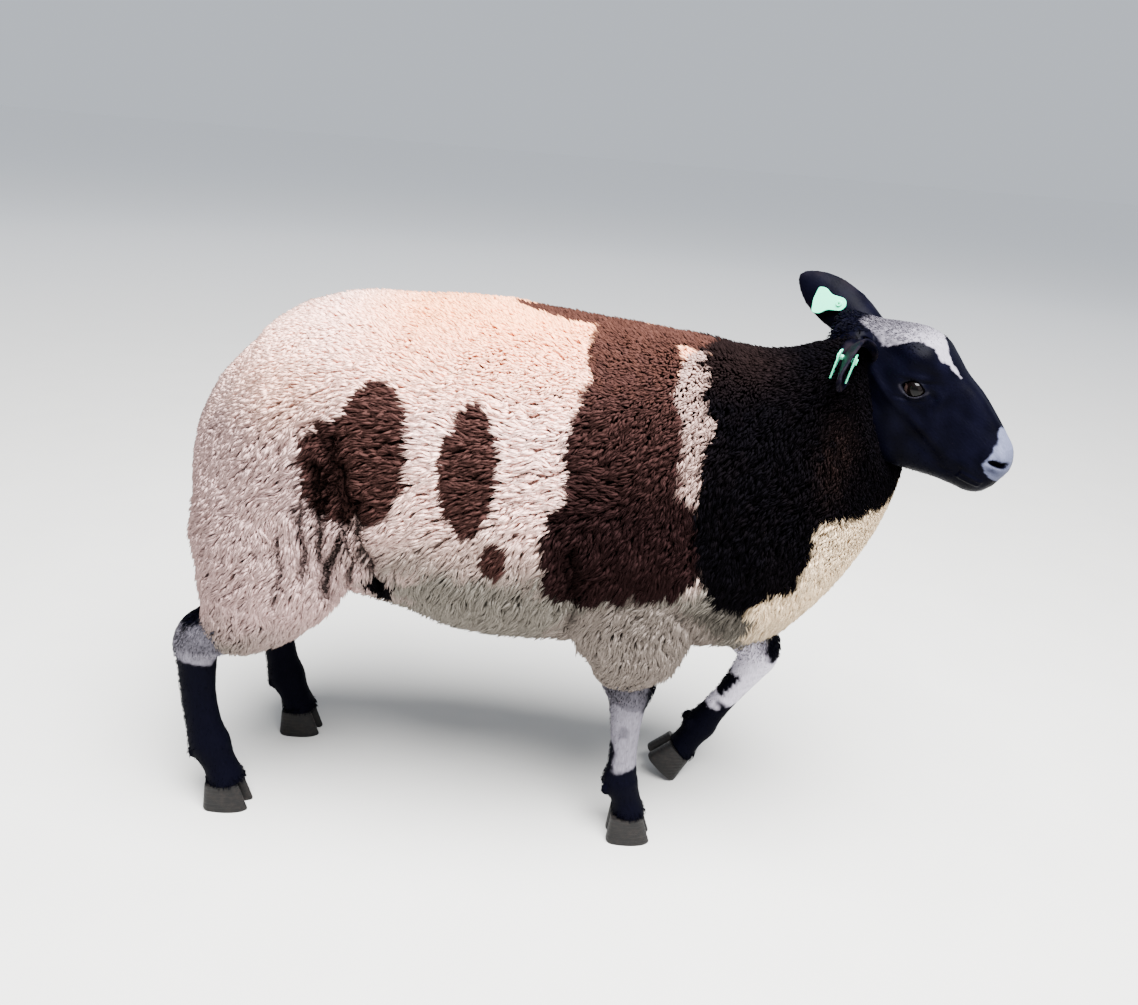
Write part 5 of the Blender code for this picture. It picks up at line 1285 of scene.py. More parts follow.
class SHEEP_OT_skin(bpy.types.Operator):
    """Makes the one skin of body, legs, head and ears, which lies under the coat"""
    bl_idname = "sheep.skin"
    bl_label = "Skin"

    def execute(self, context):
        scene = context.scene
        fleece, hair, colours = scene.sheep_fleece, scene.sheep_hair, scene.sheep_colours
        shift = np.array(-BOX_MIDDLE)
        points, normals, quads = read_mesh(woolly_form("roots", CORE_FILLS, fleece.spacing, ROOTS_SMOOTHS))
        made["wool"] = (points + shift, normals, quads)
        points, _, quads = read_mesh(woolly_form("coat's reach", 1.0, REACH_VOXEL, REACH_SMOOTHS))
        made["outer"] = tree_of(points + shift, quads)
        points, _, quads = read_mesh(woolly_form("woolly skin", CORE_FILLS, fleece.skin_voxel, SKIN_SMOOTHS))
        points += shift
        # The skin under the wool is darker, and darker still in creases: painted shade.
        tones = coat_colours(points, colours) * (SKIN_SHADE - SKIN_CREASE_SHADE * crease_at(points))[:, None]
        body = (quads, points, tones)
        limbs = [read_mesh(voxel(lower_leg(name), hair.leg_voxel, SKIN_SMOOTHS)) for name in LIMBS]
        quads, points, normals = join_meshes([(q, p + shift, n) for p, n, q in limbs])
        made["legs"] = (points, normals, quads)
        legs = (quads, points, leg_colours(points, colours))
        points, normals, quads = read_mesh(head_skin(hair.skin_voxel))
        points = fold_skin(points, normals)
        placing = np.array(head_matrix())
        turn, place = placing[:3, :3].T, placing[:3, 3]
        made["head"] = (points @ turn + place, normals @ turn, quads, points)
        head = (quads, points @ turn + place, face_colours(points, colours))
        made["wool material"] = wool_material()
        made["face material"] = hair_material(
            "short hair of the face", (1 / FACE_STREAK, 1 / STREAK_WIDE, 1 / STREAK_WIDE),
            tuple(head_matrix().to_euler()))
        made["leg material"] = hair_material(
            "short hair of the legs", (1 / STREAK_WIDE, 1 / STREAK_WIDE, 1 / LEG_STREAK), roughness=0.6)
        quads, points, tones = join_meshes([body, legs, head])
        slots = np.repeat(np.arange(3), [len(part[0]) for part in (body, legs, head)])
        materials = [made[name] for name in ("wool material", "leg material", "face material")]
        skin = mesh_object("skin", points, [quads], materials, tones, slots=slots)
        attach(skin, "root")
        flesh = ["torso", "neck", "tail", "head", "ear_right", "ear_left"]
        for name in LIMBS:
            flesh += [name + "_upper", name + "_lower"]
        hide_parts(*flesh)
        return {"FINISHED"}


# The ways that the wool hangs and lies back, and where it does which.
HANGING, LEVEL = np.array([-0.40, 0.0, -1.0]), np.array([-1.0, 0.0, -0.25])
LEVEL_Z, HANGS_SHARE = Ramp(0.43, 0.14), 0.8
HANGS_BEHIND_X, HANGS_AHEAD_X = Ramp(-0.24, -0.12), Ramp(0.02, 0.12)
SWIRLS = {"swirl": 0.26, "fine swirl": 0.26, "curl": 0.24}


def wool_flow(points, normals):
    """Which way the wool lies: back over the upper flanks, down on thighs, neck, chest and legs."""
    x, _, z = points.T
    hangs = np.maximum(ramp(x, HANGS_BEHIND_X), ramp(x, HANGS_AHEAD_X))
    level = ramp(z, LEVEL_Z) * (1 - HANGS_SHARE * hangs)
    way = HANGING + (LEVEL - HANGING) * level[:, None]
    way = unit(way - normals * (way * normals).sum(axis=1, keepdims=True))
    side = np.cross(normals, way)
    swirl = sum(turn * ripple(points, name) for name, turn in SWIRLS.items())
    return way * np.cos(swirl)[:, None] + side * np.sin(swirl)[:, None]


# A crease of the fleece: its line seen from the side, how wide it is, and how much shorter its wool is, which
# also sets how dark it is painted as shade.
Crease = namedtuple("Crease", "line width deep")
# How far a crease wanders, how deep it is on the left, and how far off the middle a side starts.
CREASE_WANDER, LEFT_CREASES, CREASE_FROM_Y = 0.0025, 0.45, 0.06
CREASES = [
    Crease([(-0.306, 0.614), (-0.300, 0.573)], 0.0050, 0.70),
    Crease([(-0.322, 0.580), (-0.320, 0.528), (-0.321, 0.447)], 0.0048, 0.75),
    Crease([(-0.309, 0.566), (-0.312, 0.513)], 0.0045, 0.75),
    Crease([(-0.292, 0.578), (-0.286, 0.538), (-0.284, 0.500)], 0.0085, 0.95),
    Crease([(-0.284, 0.500), (-0.296, 0.463), (-0.319, 0.424), (-0.321, 0.385)], 0.0062, 0.80),
    Crease([(-0.272, 0.534), (-0.270, 0.495), (-0.258, 0.446), (-0.246, 0.410)], 0.0060, 0.80),
    Crease([(-0.284, 0.480), (-0.280, 0.440), (-0.290, 0.400)], 0.0045, 0.60),
    Crease([(-0.346, 0.520), (-0.340, 0.460), (-0.346, 0.410)], 0.0048, 0.60),
    Crease([(-0.375, 0.470), (-0.372, 0.420), (-0.382, 0.375)], 0.0042, 0.45),
    Crease([(0.004, 0.490), (0.012, 0.440), (0.016, 0.385)], 0.0090, 0.40),
]


def crease_at(points):
    """How much shorter the wool is at each place, from nothing to the depth of the crease there.

    The left side, whose hind leg is less bent, has the same creases but shallower ones.
    """
    fall = np.zeros(len(points))
    spots = points[:, [0, 2]] + CREASE_WANDER * ripple(points, "crease")[:, None]
    for crease in CREASES:
        gap = np.full(len(points), np.inf)
        for start, end in zip(np.array(crease.line), np.array(crease.line)[1:]):
            run = end - start
            share = np.clip((spots - start) @ run / (run @ run), 0, 1)
            gap = np.minimum(gap, np.linalg.norm(spots - start - share[:, None] * run, axis=1))
        fall = np.maximum(fall, crease.deep * np.exp(-(gap / crease.width) ** 2))
    y = points[:, 1]
    return fall * np.select([y < -CREASE_FROM_Y, y > CREASE_FROM_Y], [1.0, LEFT_CREASES], 0.0)


# How many of the nearest staples are tried for each lock.
STAPLES_NEAR = 8


def staple_of(roots, lie, side, fleece, draw):
    """For each root its staple and how far off the staple's middle line it is, and how many there are."""
    count = int(len(roots) * fleece.spacing ** 2 / (fleece.staple_width * fleece.staple_length))
    centres = roots[draw.choice(len(roots), count, replace=False)]
    tree = KDTree(count)
    for number, centre in enumerate(centres):
        tree.insert(centre, number)
    tree.balance()
    near = np.array([[number for _, number, _ in tree.find_n(root, STAPLES_NEAR)] for root in roots])
    off = roots[:, None] - centres[near]
    across, along = (off * side[:, None]).sum(axis=2), (off * lie[:, None]).sum(axis=2)
    best = ((across / fleece.staple_width) ** 2 + (along / fleece.staple_length) ** 2).argmin(axis=1)
    row = np.arange(len(roots))
    return near[row, best], across[row, best], count


# The locks of wool: places, depths and lifts in metres, ranges of chance, and shares of a lock's height,
# thickness or tone. The hind legs' wool is behind an X and below a height, the forelegs' ahead of one.
LEAST_DEPTH, MOST_DEPTH, BY_HEAD_X, BY_HEAD_DEPTH = 0.0030, 0.024, Ramp(0.29, 0.03), 0.009
NEAR_HEAD_X, NEAR_FEET_Z, MOST_INSIDE = 0.24, 0.36, -0.004
BACK_UP, HANGS_Z, BACK_PARTS = Ramp(0.35, 0.4), Ramp(0.52, -0.16), 0.6
SLOPE, SLOPE_BACK, SLOPE_HANGS, SLOPE_STRAY = 1.00, 0.45, 0.30, 0.15
LOCK_LENGTHS, STAPLE_LENGTHS, EDGE_SHORTER, CREASE_SHORTER = (0.84, 1.03), (0.94, 1.02), 0.24, 0.8
BEND_UP, BEND_ALONG, BEND_INWARD, TIP_STRAY = 0.74, 0.36, 0.6, 0.0010
CREASE_WALL, CREASE_TRIES, CREASE_SINKS, ROOT_SUNK = 0.38, (0.8, 0.6, 0.4, 0.2), 0.75, 0.002
LOCK_THICKS, FULL_DEPTH, THINNEST, NECK_X, NECK_FINER = (0.75, 1.2), 0.016, 0.6, Ramp(0.24, 0.05), 0.22
LOCK_TONES, STAPLE_TONES, EDGE_SHADE, CREASE_SHADE, DEEPEST_SHADE = (0.84, 1.12), (0.93, 1.05), 0.16, 1.25, 0.93
TIPS_OFF_SKIN, BENDS_OFF_SKIN, WOOL_ROOT_SHADE = 0.0022, 0.0026, 0.78
HIND_LEG_WOOL, FORE_LEG_WOOL, LEG_REACH = (-0.20, 0.402), (0.0, 0.346), 0.125
TAIL_WOOL_X, TAIL_WOOL_Y, TAIL_WOOL_Z = -0.497, 0.046, (0.31, 0.60)


def wool_roots(fleece, head_tree, draw):
    """Where locks grow: the roots, the skin's normals, the lie of the wool and across it, and its depth."""
    points, point_normals, quads = made["wool"]
    roots, _, _ = quad_frame(points, quads)
    normals = unit(point_normals[quads].mean(axis=1))
    lie = wool_flow(roots, normals)
    side = np.cross(normals, lie)
    jitter = draw.uniform(-0.5, 0.5, (2, len(roots))) * fleece.spacing
    roots = roots + side * jitter[0][:, None] + lie * jitter[1][:, None]
    depth, _, _ = nearest(made["outer"], roots)
    depth = np.clip(depth, BY_HEAD_DEPTH * ramp(roots[:, 0], BY_HEAD_X), MOST_DEPTH)
    keep = depth > LEAST_DEPTH
    leg_tree = tree_of(made["legs"][0], made["legs"][2])
    for tree, near in ((head_tree, roots[:, 0] > NEAR_HEAD_X), (leg_tree, roots[:, 2] < NEAR_FEET_Z)):
        which = np.where(near)[0]
        keep[which] &= above(tree, roots[which])[0] > MOST_INSIDE
    return [part[keep] for part in (roots, normals, lie, side, depth)]


def coat_groups(roots):
    """The names of the fleece's pieces, which roots are theirs, and the line that each is unwrapped round."""
    x, y, z = roots.T
    low_leg = (x < HIND_LEG_WOOL[0]) & (z < HIND_LEG_WOOL[1])
    low_leg |= (x > FORE_LEG_WOOL[0]) & (z < FORE_LEG_WOOL[1])
    tail = (x < TAIL_WOOL_X) & (np.abs(y) < TAIL_WOOL_Y) & (z > TAIL_WOOL_Z[0]) & (z < TAIL_WOOL_Z[1])
    limb, _, reach = leg_of(roots)
    on_leg = low_leg & (reach < LEG_REACH) & ~tail
    legs = [("fleece_" + name, on_leg & (limb == index), leg_axis(name)) for index, name in enumerate(LIMBS)]
    return [("fleece_trunk", ~on_leg & ~tail, body_axis()), *legs, ("fleece_tail", tail, tail_axis())]


class SHEEP_OT_fleece(bpy.types.Operator):
    """Grows the locks of wool out to the tips of the solids' clumps"""
    bl_idname = "sheep.fleece"
    bl_label = "Fleece"

    def execute(self, context):
        fleece, colours = context.scene.sheep_fleece, context.scene.sheep_colours
        draw = np.random.default_rng(SEED)
        head_tree = tree_of(made["head"][0], made["head"][2])
        roots, normals, lie, side, depth = wool_roots(fleece, head_tree, draw)
        count = len(roots)
        staple, across, staples = staple_of(roots, lie, side, fleece, draw)
        top = ramp(normals[:, 2], BACK_UP)
        parts = 1 - BACK_PARTS * top
        edge = np.clip(np.abs(across) / fleece.staple_width * 2, 0, 1) * parts
        # The wool stands up on the back, lies over on the flanks, and hangs on thighs, belly and brisket.
        slope = SLOPE - SLOPE_BACK * top + SLOPE_HANGS * ramp(roots[:, 2], HANGS_Z)
        slope += SLOPE_STRAY * draw.uniform(-1, 1, count)
        lumps = 1.0 - fleece.lumps * (0.5 - 0.5 * ripple(roots, "lumps"))
        height = depth * lumps * draw.uniform(*LOCK_LENGTHS, count) * (1 - EDGE_SHORTER * edge ** 2)
        height *= draw.uniform(*STAPLE_LENGTHS, staples)[staple]
        fall = crease_at(roots)
        height *= 1 - CREASE_SHORTER * fall
        reach = lie * (height * slope)[:, None]
        wave = side * (fleece.crimp * ripple(roots, "crimp"))[:, None]
        inward = side * (-across * fleece.draw_in * parts)[:, None]
        stray = side * draw.normal(0, TIP_STRAY, count)[:, None]
        bends = roots + normals * (height * BEND_UP)[:, None] + reach * BEND_ALONG
        bends += inward * BEND_INWARD - wave
        tips = roots + normals * height[:, None] + reach + inward + wave + stray
        # A lock ends at the edge of a crease, or sinks into it.
        for share in CREASE_TRIES:
            halt = bends + (tips - bends) * share
            over = crease_at(halt) > CREASE_WALL
            tips[over] = halt[over]
        for part in (tips, bends):
            part -= normals * (height * CREASE_SINKS * crease_at(part))[:, None]
        thick = fleece.thick * draw.uniform(*LOCK_THICKS, count) * np.clip(depth / FULL_DEPTH, THINNEST, 1.0)
        thick *= 1 - NECK_FINER * ramp(roots[:, 0], NECK_X)
        shade = draw.uniform(*STAPLE_TONES, staples)[staple] * draw.uniform(*LOCK_TONES, count)
        # Locks at the edges of staples and in creases are darker: painted shade.
        shade *= 1 - EDGE_SHADE * edge
        shade *= 1 - np.clip(CREASE_SHADE * np.maximum(fall, crease_at(tips)), 0, DEEPEST_SHADE)
        # Locks that would pass through the head or an ear drape over it.
        near = np.where(roots[:, 0] > NEAR_HEAD_X)[0]
        for part, lift in ((tips, TIPS_OFF_SKIN), (bends, BENDS_OFF_SKIN)):
            height, facing, places = above(head_tree, part[near])
            within = height < lift
            part[near[within]] = places[within] + facing[within] * lift
        tones = coat_colours(tips - reach * 0.2, colours) * shade[:, None]
        sunk = roots - normals * ROOT_SUNK
        for name, mask, axis in coat_groups(roots):
            index = np.where(mask)[0]
            place = unwrap(roots[index], axis)
            order = np.argsort(place[:, 0], kind="stable")
            index, place = index[order], place[order]
            make_locks(name, sunk[index], bends[index], tips[index], thick[index], tones[index],
                       WOOL_ROOT_SHADE, place, made["wool material"])
        return {"FINISHED"}


# A tuft of short hair: ranges of chance, the painted shade at its root, shares of its length, and how far its
# root is sunk.
TUFT_LENGTHS, TUFT_THICKS, TUFT_TONES, TUFT_ROOT_SHADE = (0.7, 1.15), (0.8, 1.2), (0.75, 1.15), 0.75
TUFT_BEND_UP, TUFT_BEND_ALONG, TUFT_TIP_UP, TUFT_TAPER = 0.30, 0.40, 0.34, 0.12
TUFT_STRAY, TUFT_SUNK = 0.25, 0.0005


def plant(name, skin, lie, length, share, tones, axis, material, hair, draw):
    """Short tufts on some of the faces of a skin, share being the chance that a face gets one."""
    middles, normals = skin
    index = np.where(draw.uniform(0, 1, len(middles)) < share)[0]
    root, normal = middles[index], normals[index]
    length = length[index] * draw.uniform(*TUFT_LENGTHS, len(index))
    lie = unit(lie[index] - normal * (lie[index] * normal).sum(axis=1, keepdims=True))
    lie = unit(lie + np.cross(normal, lie) * draw.normal(0, TUFT_STRAY, len(index))[:, None])
    bend = root + normal * (length * TUFT_BEND_UP)[:, None] + lie * (length * TUFT_BEND_ALONG)[:, None]
    tip = root + normal * (length * TUFT_TIP_UP)[:, None] + lie * length[:, None]
    thick = (hair.thick + TUFT_TAPER * length) * draw.uniform(*TUFT_THICKS, len(index))
    tones = tones[index] * draw.uniform(*TUFT_TONES, len(index))[:, None]
    make_locks(name, root - normal * TUFT_SUNK, bend, tip, thick, tones, TUFT_ROOT_SHADE, unwrap(root, axis),
               material)


def on_ears(spots):
    """One for each place of the head's skin that is on an ear, zero elsewhere."""
    points = [point for side_name in SIDES for row in ear_rows(side_name) for point in row]
    tree = KDTree(len(points))
    for number, point in enumerate(points):
        tree.insert(point, number)
    tree.balance()
    return np.array([float(tree.find(place)[2] < EAR_NEAR) for place in spots])


# How near the ear's middle surface its skin is, and how far from an eye the hair starts.
EAR_NEAR, CLEAR_OF_EYE = 0.0090, 0.026
# Where on the head longer hair grows, how long it is in metres, and the share of places with a tuft.
BEHIND_X, POLL_X, POLL_Z = Ramp(0.034, -0.050), Ramp(0.085, -0.05), Ramp(0.002, 0.02)
JAW_X, JAW_Z, JAW_SLOPE = 0.05, Ramp(-0.088, -0.015), 0.35
FACE_LENGTH, BEHIND_LENGTH, POLL_LENGTH = 0.0016, 0.006, 0.0022
BEHIND_SHARE, POLL_SHARE, JAW_SHARE, HEAD_PLACE = 0.30, 0.36, 0.04, 2.0e-6
# The same for the legs: under the ends of the fore and hind wool, behind, and round the claws' tops.
WOOL_ENDS_Z, UNDER_WOOL = (0.262, 0.285), Ramp(-0.035, 0.03)
BEHIND_LEG, BEHIND_LEG_Z, CROWN_Z = Ramp(110, 40), Ramp(0.07, 0.02), Ramp(0.062, -0.012)
LEG_LENGTH, UNDER_LENGTH, BEHIND_LEG_LENGTH, CROWN_LENGTH = 0.0026, 0.006, 0.0025, 0.0045
LEG_SHARE, UNDER_SHARE, BEHIND_LEG_SHARE, CROWN_SHARE, LEG_PLACE = 0.05, 0.20, 0.12, 0.30, 3.5e-6
LEG_LIE, LEG_HAIR_FROM_Z = (-0.12, 0.0, -1.0), 0.046


def skin_faces(name):
    """Middles, normals and areas of the faces of a skin, and their corners' numbers."""
    points, point_normals, quads = made[name][:3]
    middles, _, areas = quad_frame(points, quads)
    return middles, unit(point_normals[quads].mean(axis=1)), areas, quads


def head_hair(hair, colours, draw):
    """The tufts of face, poll, jaw and ears, as one piece."""
    middles, normals, areas, quads = skin_faces("head")
    places = made["head"][3][quads].mean(axis=1)
    x, y, z = places.T
    ear = on_ears(places)
    behind = ramp(x, BEHIND_X) * (1 - ear)
    poll = ramp(x, POLL_X) * ramp(z, POLL_Z)
    jaw = ramp(z - JAW_SLOPE * (x - JAW_X), JAW_Z)
    off_eye = np.stack([x - EYE_AT.x, y - np.sign(y) * EYE_AT.y, z - EYE_AT.z])
    clear = np.linalg.norm(off_eye, axis=0) > CLEAR_OF_EYE
    length = FACE_LENGTH + BEHIND_LENGTH * behind ** 2 + POLL_LENGTH * poll
    many = BEHIND_SHARE * behind + POLL_SHARE * poll * (1 - ear) + JAW_SHARE * jaw
    # Back along the head and out at its sides, and more down than back behind the jaw.
    lie = np.stack([-1.0 + 0.6 * behind, 5 * y, -0.35 - 0.9 * behind * (z < -0.01)], axis=1)
    for side_name, side in SIDES.items():
        lie[(ear > 0) & (y * side > 0)] = np.array(EAR_WAY[side_name])
    lie = lie @ np.array(head_matrix())[:3, :3].T
    plant("hair_head", (middles, normals), lie, length, many * clear * areas / HEAD_PLACE,
          face_colours(places, colours), head_axis(), made["face material"], hair, draw)


def leg_hair(hair, colours, draw):
    """The tufts of the lower legs, a piece for each leg."""
    middles, normals, areas, _ = skin_faces("legs")
    limb, way_round, _ = leg_of(middles)
    z = middles[:, 2]
    under = ramp(z - np.where(limb < 2, *WOOL_ENDS_Z), UNDER_WOOL)
    behind = ramp(np.abs(way_round), BEHIND_LEG) * ramp(z, BEHIND_LEG_Z)
    crown = ramp(z, CROWN_Z)
    length = LEG_LENGTH + UNDER_LENGTH * under + BEHIND_LEG_LENGTH * behind + CROWN_LENGTH * crown
    many = LEG_SHARE + UNDER_SHARE * under + BEHIND_LEG_SHARE * behind + CROWN_SHARE * crown
    lie = np.tile(LEG_LIE, (len(middles), 1))
    tones = leg_colours(middles, colours)
    for index, name in enumerate(LIMBS):
        on = np.where((limb == index) & (z > LEG_HAIR_FROM_Z))[0]
        share = many[on] * areas[on] / LEG_PLACE
        plant("hair_" + name, (middles[on], normals[on]), lie[on], length[on], share, tones[on],
              leg_axis(name), made["leg material"], hair, draw)


class SHEEP_OT_hair(bpy.types.Operator):
    """Grows the short tufts that break the outline of poll, cheeks, ears and legs"""
    bl_idname = "sheep.hair"
    bl_label = "Short hair"

    def execute(self, context):
        hair, colours = context.scene.sheep_hair, context.scene.sheep_colours
        draw = np.random.default_rng(SEED + 5)
        head_hair(hair, colours, draw)
        leg_hair(hair, colours, draw)
        return {"FINISHED"}


EYE_AHEAD, EYE_SEGMENTS, EYE_RINGS, EYE_SHRUNK = (0.34, 0.93, 0.02), 96, 64, 0.995
# The iris as a share of the eye's radius, the pupil's half sizes, and the streaks of the iris.
IRIS_EDGE, PUPIL_LONG, PUPIL_TALL, IRIS_STREAKS, STREAK_DEPTH = Ramp(0.74, -0.05), 0.0062, 0.0030, 40, 0.25
# The white of the eye is dark; the paler crescent at the lower lid is a painted reflection of the ground.
EYE_DARK, EYE_GROUND_REFLECTION, PUPIL, GROUND_REFLECTION_UP = "#070404", "#2e2321", "#020202", Ramp(-0.42, -0.10)
# The cornea stands a little proud of the ball, out to this share of its radius.
CORNEA_PROUD, CORNEA_EDGE = 0.0010, 0.72


def paint_eye(points, side, colours):
    """The colours of the eye's points, with the cornea's bulge given to the points."""
    ahead = np.array(Vector((EYE_AHEAD[0], side * EYE_AHEAD[1], EYE_AHEAD[2])).normalized())
    level = np.array(Matrix.Rotation(LID_SLANT, 3, "Y") @ Vector((1, 0, 0)))
    level = level - ahead * (level @ ahead)
    level /= np.linalg.norm(level)
    over = np.cross(ahead, level) * -side
    front, along, up = points @ ahead > 0, points @ level, points @ over
    around = np.sqrt(along ** 2 + up ** 2) / EYE_RADIUS
    slot = np.sqrt((along / PUPIL_LONG) ** 4 + (up / PUPIL_TALL) ** 4)
    pupil = np.clip((1.0 - slot) / 0.3 + 0.5, 0, 1) * front
    streak = 1 + STREAK_DEPTH * np.sin(np.arctan2(up, along) * IRIS_STREAKS)
    white = mix(hexes(EYE_DARK), hexes(EYE_GROUND_REFLECTION), ramp(up / EYE_RADIUS, GROUND_REFLECTION_UP))
    tone = mix(white, np.array(colours.iris[:3]) * streak[:, None], ramp(around, IRIS_EDGE) * front)
    bulge = CORNEA_PROUD * np.clip(1 - (around / CORNEA_EDGE) ** 2, 0, 1) * front
    return mix(tone, hexes(PUPIL), pupil), points * (1 + bulge / EYE_RADIUS)[:, None] * EYE_SHRUNK


class SHEEP_OT_eyes(bpy.types.Operator):
    """Makes the eyes, dark brown with a level slot of a pupil"""
    bl_idname = "sheep.eyes"
    bl_label = "Eyes"

    def execute(self, context):
        placing = np.array(head_matrix())
        for name, side in SIDES.items():
            eye = ball("eye", (0, 0, 0), Vector.Fill(3, EYE_RADIUS), None, EYE_SEGMENTS, EYE_RINGS)
            points = np.array([v.co[:] for v in eye.data.vertices])
            corners = [p.vertices[:] for p in eye.data.polygons]
            faces = [np.array([face for face in corners if len(face) == n]) for n in (3, 4)]
            bpy.data.objects.remove(eye)
            tones, points = paint_eye(points, side, context.scene.sheep_colours)
            placed = (points + np.array(mirrored(EYE_AT, side))) @ placing[:3, :3].T + placing[:3, 3]
            obj = mesh_object("eyeball_" + name, placed, faces, [eye_material()], np.clip(tones, 0, 1))
            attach(obj, "root")
            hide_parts("eye_" + name)
        return {"FINISHED"}


# The levels of a claw near the ground and how far each is drawn in, how many more there are above them,
# the growth rings among those, and how far the toe of the swinging foot is let into the ground.
CLAW_FOOT = [(0.0, SOLE_TUCK), (0.0015, 0.97), (0.004, 1.0)]
CLAW_LEVELS, GROWTH_EVERY, GROWTH_DEPTH, GROWTH_FROM_Z, TOE_DOWN = 16, 3, 0.012, 0.01, 0.0003
CLAW_ROUNDS, CLAW_CREASE, TAG_CREASE = 6, math.radians(50), math.radians(35)


def claw_outline(height):
    """The outline of one claw at a height, wide at the heel and pointed at the toe, as along and across."""
    up = height / CLAW_TALL
    heel = CLAW_HEEL + HEEL_LEAN * up
    length = CLAW_TOE - TOE_LEAN * up - heel
    half = CLAW_WIDTH / 2 * (1 - CLAW_TAPER * up)
    corners = [Vector((heel + along * length, across * half)) for along, across in CLAW_OUTLINE]
    count = len(corners)
    return [
        smooth_between(*[corners[(i + j) % count] for j in (-1, 0, 1, 2)], k / CLAW_ROUNDS)
        for i in range(count) for k in range(CLAW_ROUNDS)
    ]


class SHEEP_OT_claws(bpy.types.Operator):
    """Makes the eight claws, flat on the ground"""
    bl_idname = "sheep.claws"
    bl_label = "Claws"

    def execute(self, context):
        material = horn_material(list(context.scene.sheep_colours.horn))
        foot = CLAW_FOOT[-1][0]
        levels = CLAW_FOOT + [
            (foot + (CLAW_TALL - foot) * k / CLAW_LEVELS, 1.0) for k in range(1, CLAW_LEVELS + 1)
        ]
        for name, (rings, side, swinging) in LIMBS.items():
            coronet = leg_middle(rings["coronet"], side) - BOX_MIDDLE
            turn = foot_turn(swinging)
            drop = rings["coronet"].z if not swinging else CLAW_TALL + TOE_DOWN
            for label, out in (("inner", -side), ("outer", side)):
                sections = []
                for number, (level, tuck) in enumerate(levels):
                    grown = number % GROWTH_EVERY == 0 and level > GROWTH_FROM_Z
                    ring = 1 - GROWTH_DEPTH * grown
                    edge = [(p.x * tuck * ring, out * (CLAW_OUT - p.y * ring)) for p in claw_outline(level)]
                    sections.append([coronet + turn @ Vector((*p, level - drop)) for p in edge])
                node = name.replace("leg", "claw") + "_" + label
                hoof = loft("horn_" + node, sections, material)
                if swinging:
                    ground = half_space("ground", Vector((0, 0, 0)), Vector((0, 0, -1)))
                    boolean(hoof, "DIFFERENCE", [ground])
                hoof.data.shade_smooth()
                hoof.data.set_sharp_from_angle(angle=CLAW_CREASE)
                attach(hoof, "root")
                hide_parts(node)
        return {"FINISHED"}


def tag_plate(name, place):
    """The plate of a tag in its own plane: a round end about the stud, and a flag that flares from it."""
    outline = [
        Vector((-math.cos(turn) * TAG_ROUND, math.sin(turn) * TAG_ROUND))
        for turn in (math.pi * (k / TAG_STEPS - 0.5) for k in range(TAG_STEPS + 1))
    ]
    foot = [*TAG_FLARE, (TAG_NOTCH, 0.0), *[(along, -across) for along, across in TAG_FLARE[::-1]]]
    foot = [Vector(p) for p in foot]
    chain = [outline[-1], *foot, outline[0]]
    for i, corner in enumerate(foot):
        a, b = (
            corner + (other - corner) * min(TAG_CORNER_SHARE, TAG_CORNER / (other - corner).length)
            for other in (chain[i], chain[i + 2])
        )
        for t in (k / TAG_CORNER_STEPS for k in range(TAG_CORNER_STEPS + 1)):
            outline.append(a * (1 - t) ** 2 + corner * 2 * t * (1 - t) + b * t ** 2)
    middle = Vector((TAG_LENGTH * 0.4, 0.0))
    inner = [p - (p - middle).normalized() * TAG_EDGE_IN for p in outline]
    heights = (0.0, TAG_EDGE_TALL, TAG_THICK - TAG_EDGE_TALL, TAG_THICK)
    edges = zip(heights, (inner, outline, outline, inner))
    return loft(name, [[place @ Vector((*p, z)) for p in edge] for z, edge in edges])


def cone(low, high, wide, narrow, place):
    """A round stud from one height to another over a place."""
    bm = bmesh.new()
    bmesh.ops.create_cone(bm, cap_ends=True, segments=32, radius1=wide, radius2=narrow, depth=high - low)
    bm.transform(place @ Matrix.Translation((0, 0, (low + high) / 2)))
    return new_object("stud", bm)


class SHEEP_OT_tags(bpy.types.Operator):
    """Makes the two halves of each ear tag, bare"""
    bl_idname = "sheep.tags"
    bl_label = "Ear tags"

    def execute(self, context):
        material = plastic_material(list(context.scene.sheep_colours.tag))
        for side_name in SIDES:
            middle = ear_point(side_name, ear_station(TAG_ALONG), 0.0)
            _, opens, _ = ear_axes(side_name)
            for face, out in (("inner", opens), ("outer", -opens)):
                hang = TAG_HANGS[side_name + " " + face]
                down = (hang - out * hang.dot(out)).normalized()
                turn = Matrix((down, out.cross(down), out)).transposed().to_4x4()
                place = Matrix.Translation(middle) @ turn
                off = TAG_OFF[face]
                flat, top = off + TAG_THICK / 2, off + TAG_THICK / 2 + TAG_BOSS_TALL
                name = "tag_{}_{}".format(side_name, face)
                plate = tag_plate("ear_" + name, Matrix.Translation(middle + out * off) @ turn)
                boolean(plate, "UNION", [
                    cone(EAR_THICK / 2 + TAG_OFF_EAR, flat, TAG_STUD, TAG_STUD, place),
                    cone(flat, top, TAG_BOSS, TAG_BOSS * TAG_BOSS_TAPER, place),
                ])
                boolean(plate, "DIFFERENCE", [ball("pin hole", middle + out * top, PIN_HOLE, turn, 20, 12)])
                plate.data.transform(head_matrix())
                plate.data.materials.clear()
                plate.data.materials.append(material)
                plate.data.shade_smooth()
                plate.data.set_sharp_from_angle(angle=TAG_CREASE)
                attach(plate, "root")
                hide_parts(name)
        return {"FINISHED"}


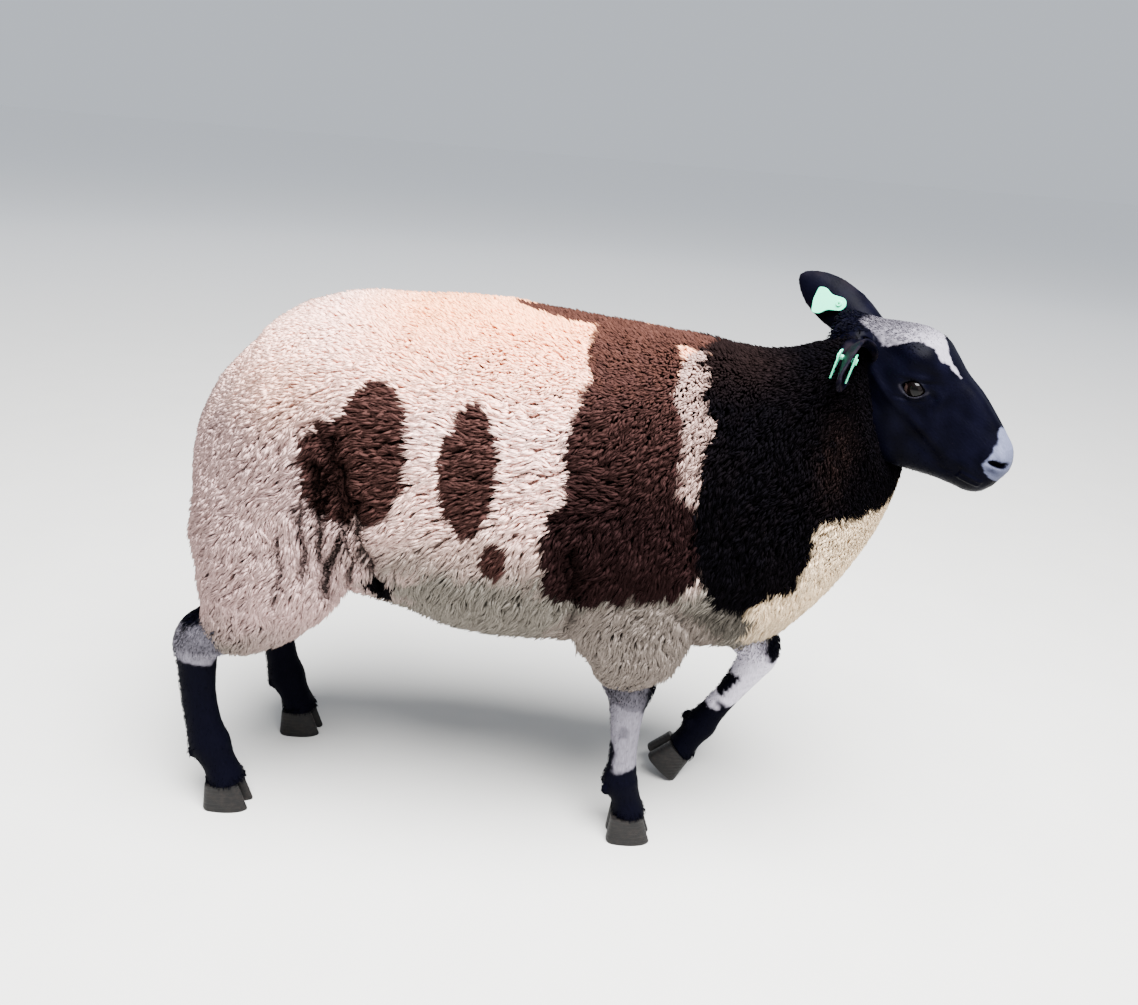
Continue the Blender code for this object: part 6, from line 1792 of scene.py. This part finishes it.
# The light, the floor and the camera. The camera's place, tip and roll are those of the photograph.
FLOOR_HALF, SKY, SKY_STRENGTH, AIM = 60.0, "#dfe6f0", 0.85, Vector((0.0, 0.0, 0.45))
LIGHTS = {"key": ((0.4, -1.2, 3.6), 3.0), "fill": ((1.8, -3.0, 1.6), 2.6)}
PHOTO_WIDTH, FOCAL_PIXELS, SENSOR = 1138.0, 1000.0, 36.0
CAMERA_AT, CAMERA_TIP, CAMERA_ROLL = Vector((0.0, -1.358, 0.985)), math.radians(70.0), math.radians(5.0)


class SHEEP_OT_stage(bpy.types.Operator):
    """Sets up the floor, the soft light and the camera"""
    bl_idname = "sheep.stage"
    bl_label = "Stage"

    def execute(self, context):
        scene = context.scene
        bm = bmesh.new()
        bmesh.ops.create_grid(bm, x_segments=2, y_segments=2, size=FLOOR_HALF)
        new_object("floor", bm, floor_material())
        world = bpy.data.worlds.new("studio")
        world.use_nodes = True
        background = world.node_tree.nodes["Background"]
        background.inputs["Color"].default_value = linear(SKY)
        background.inputs["Strength"].default_value = SKY_STRENGTH
        scene.world = world
        for name, (place, size) in LIGHTS.items():
            light = bpy.data.lights.new(name, "AREA")
            light.energy, light.size, light.shape = getattr(scene.sheep_stage, name), size, "DISK"
            lamp = bpy.data.objects.new(name, light)
            scene.collection.objects.link(lamp)
            lamp.location = place
            lamp.rotation_euler = (AIM - Vector(place)).to_track_quat("-Z", "Y").to_euler()
        lens = bpy.data.cameras.new("camera")
        lens.sensor_width, lens.lens = SENSOR, FOCAL_PIXELS * SENSOR / PHOTO_WIDTH
        camera = bpy.data.objects.new("camera", lens)
        scene.collection.objects.link(camera)
        turn = Matrix.Rotation(CAMERA_TIP, 4, "X") @ Matrix.Rotation(CAMERA_ROLL, 4, "Z")
        camera.matrix_world = Matrix.Translation(CAMERA_AT - BOX_MIDDLE) @ turn
        scene.camera = camera
        return {"FINISHED"}


class SHEEP_PT_panel(bpy.types.Panel):
    """Lists the pieces of the sheep and their settings"""
    bl_label = "Spotted sheep"
    bl_idname = "SHEEP_PT_panel"
    bl_space_type = "VIEW_3D"
    bl_region_type = "UI"
    bl_category = "Sheep"

    def draw(self, context):
        for operator in OPERATORS:
            self.layout.operator(operator.bl_idname)
        for key, kind in SETTINGS.items():
            box = self.layout.box()
            box.label(text=kind.__doc__.rstrip("."))
            for name in kind.__annotations__:
                box.prop(getattr(context.scene, key), name)


SETTINGS = {
    "sheep_fleece": FleeceSettings, "sheep_hair": HairSettings, "sheep_colours": ColourSettings,
    "sheep_stage": StageSettings,
}
OPERATORS = [
    SHEEP_OT_skin, SHEEP_OT_fleece, SHEEP_OT_hair, SHEEP_OT_eyes, SHEEP_OT_claws, SHEEP_OT_tags,
    SHEEP_OT_stage,
]


def register():
    for kind in (*SETTINGS.values(), *OPERATORS, SHEEP_PT_panel):
        bpy.utils.register_class(kind)
    for key, kind in SETTINGS.items():
        setattr(bpy.types.Scene, key, PointerProperty(type=kind))


def unregister():
    for key in SETTINGS:
        delattr(bpy.types.Scene, key)
    for kind in (SHEEP_PT_panel, *OPERATORS[::-1], *list(SETTINGS.values())[::-1]):
        bpy.utils.unregister_class(kind)


def main():
    register()
    for operator in OPERATORS:
        group, name = operator.bl_idname.split(".")
        getattr(getattr(bpy.ops, group), name)()


if __name__ == "__main__":
    main()
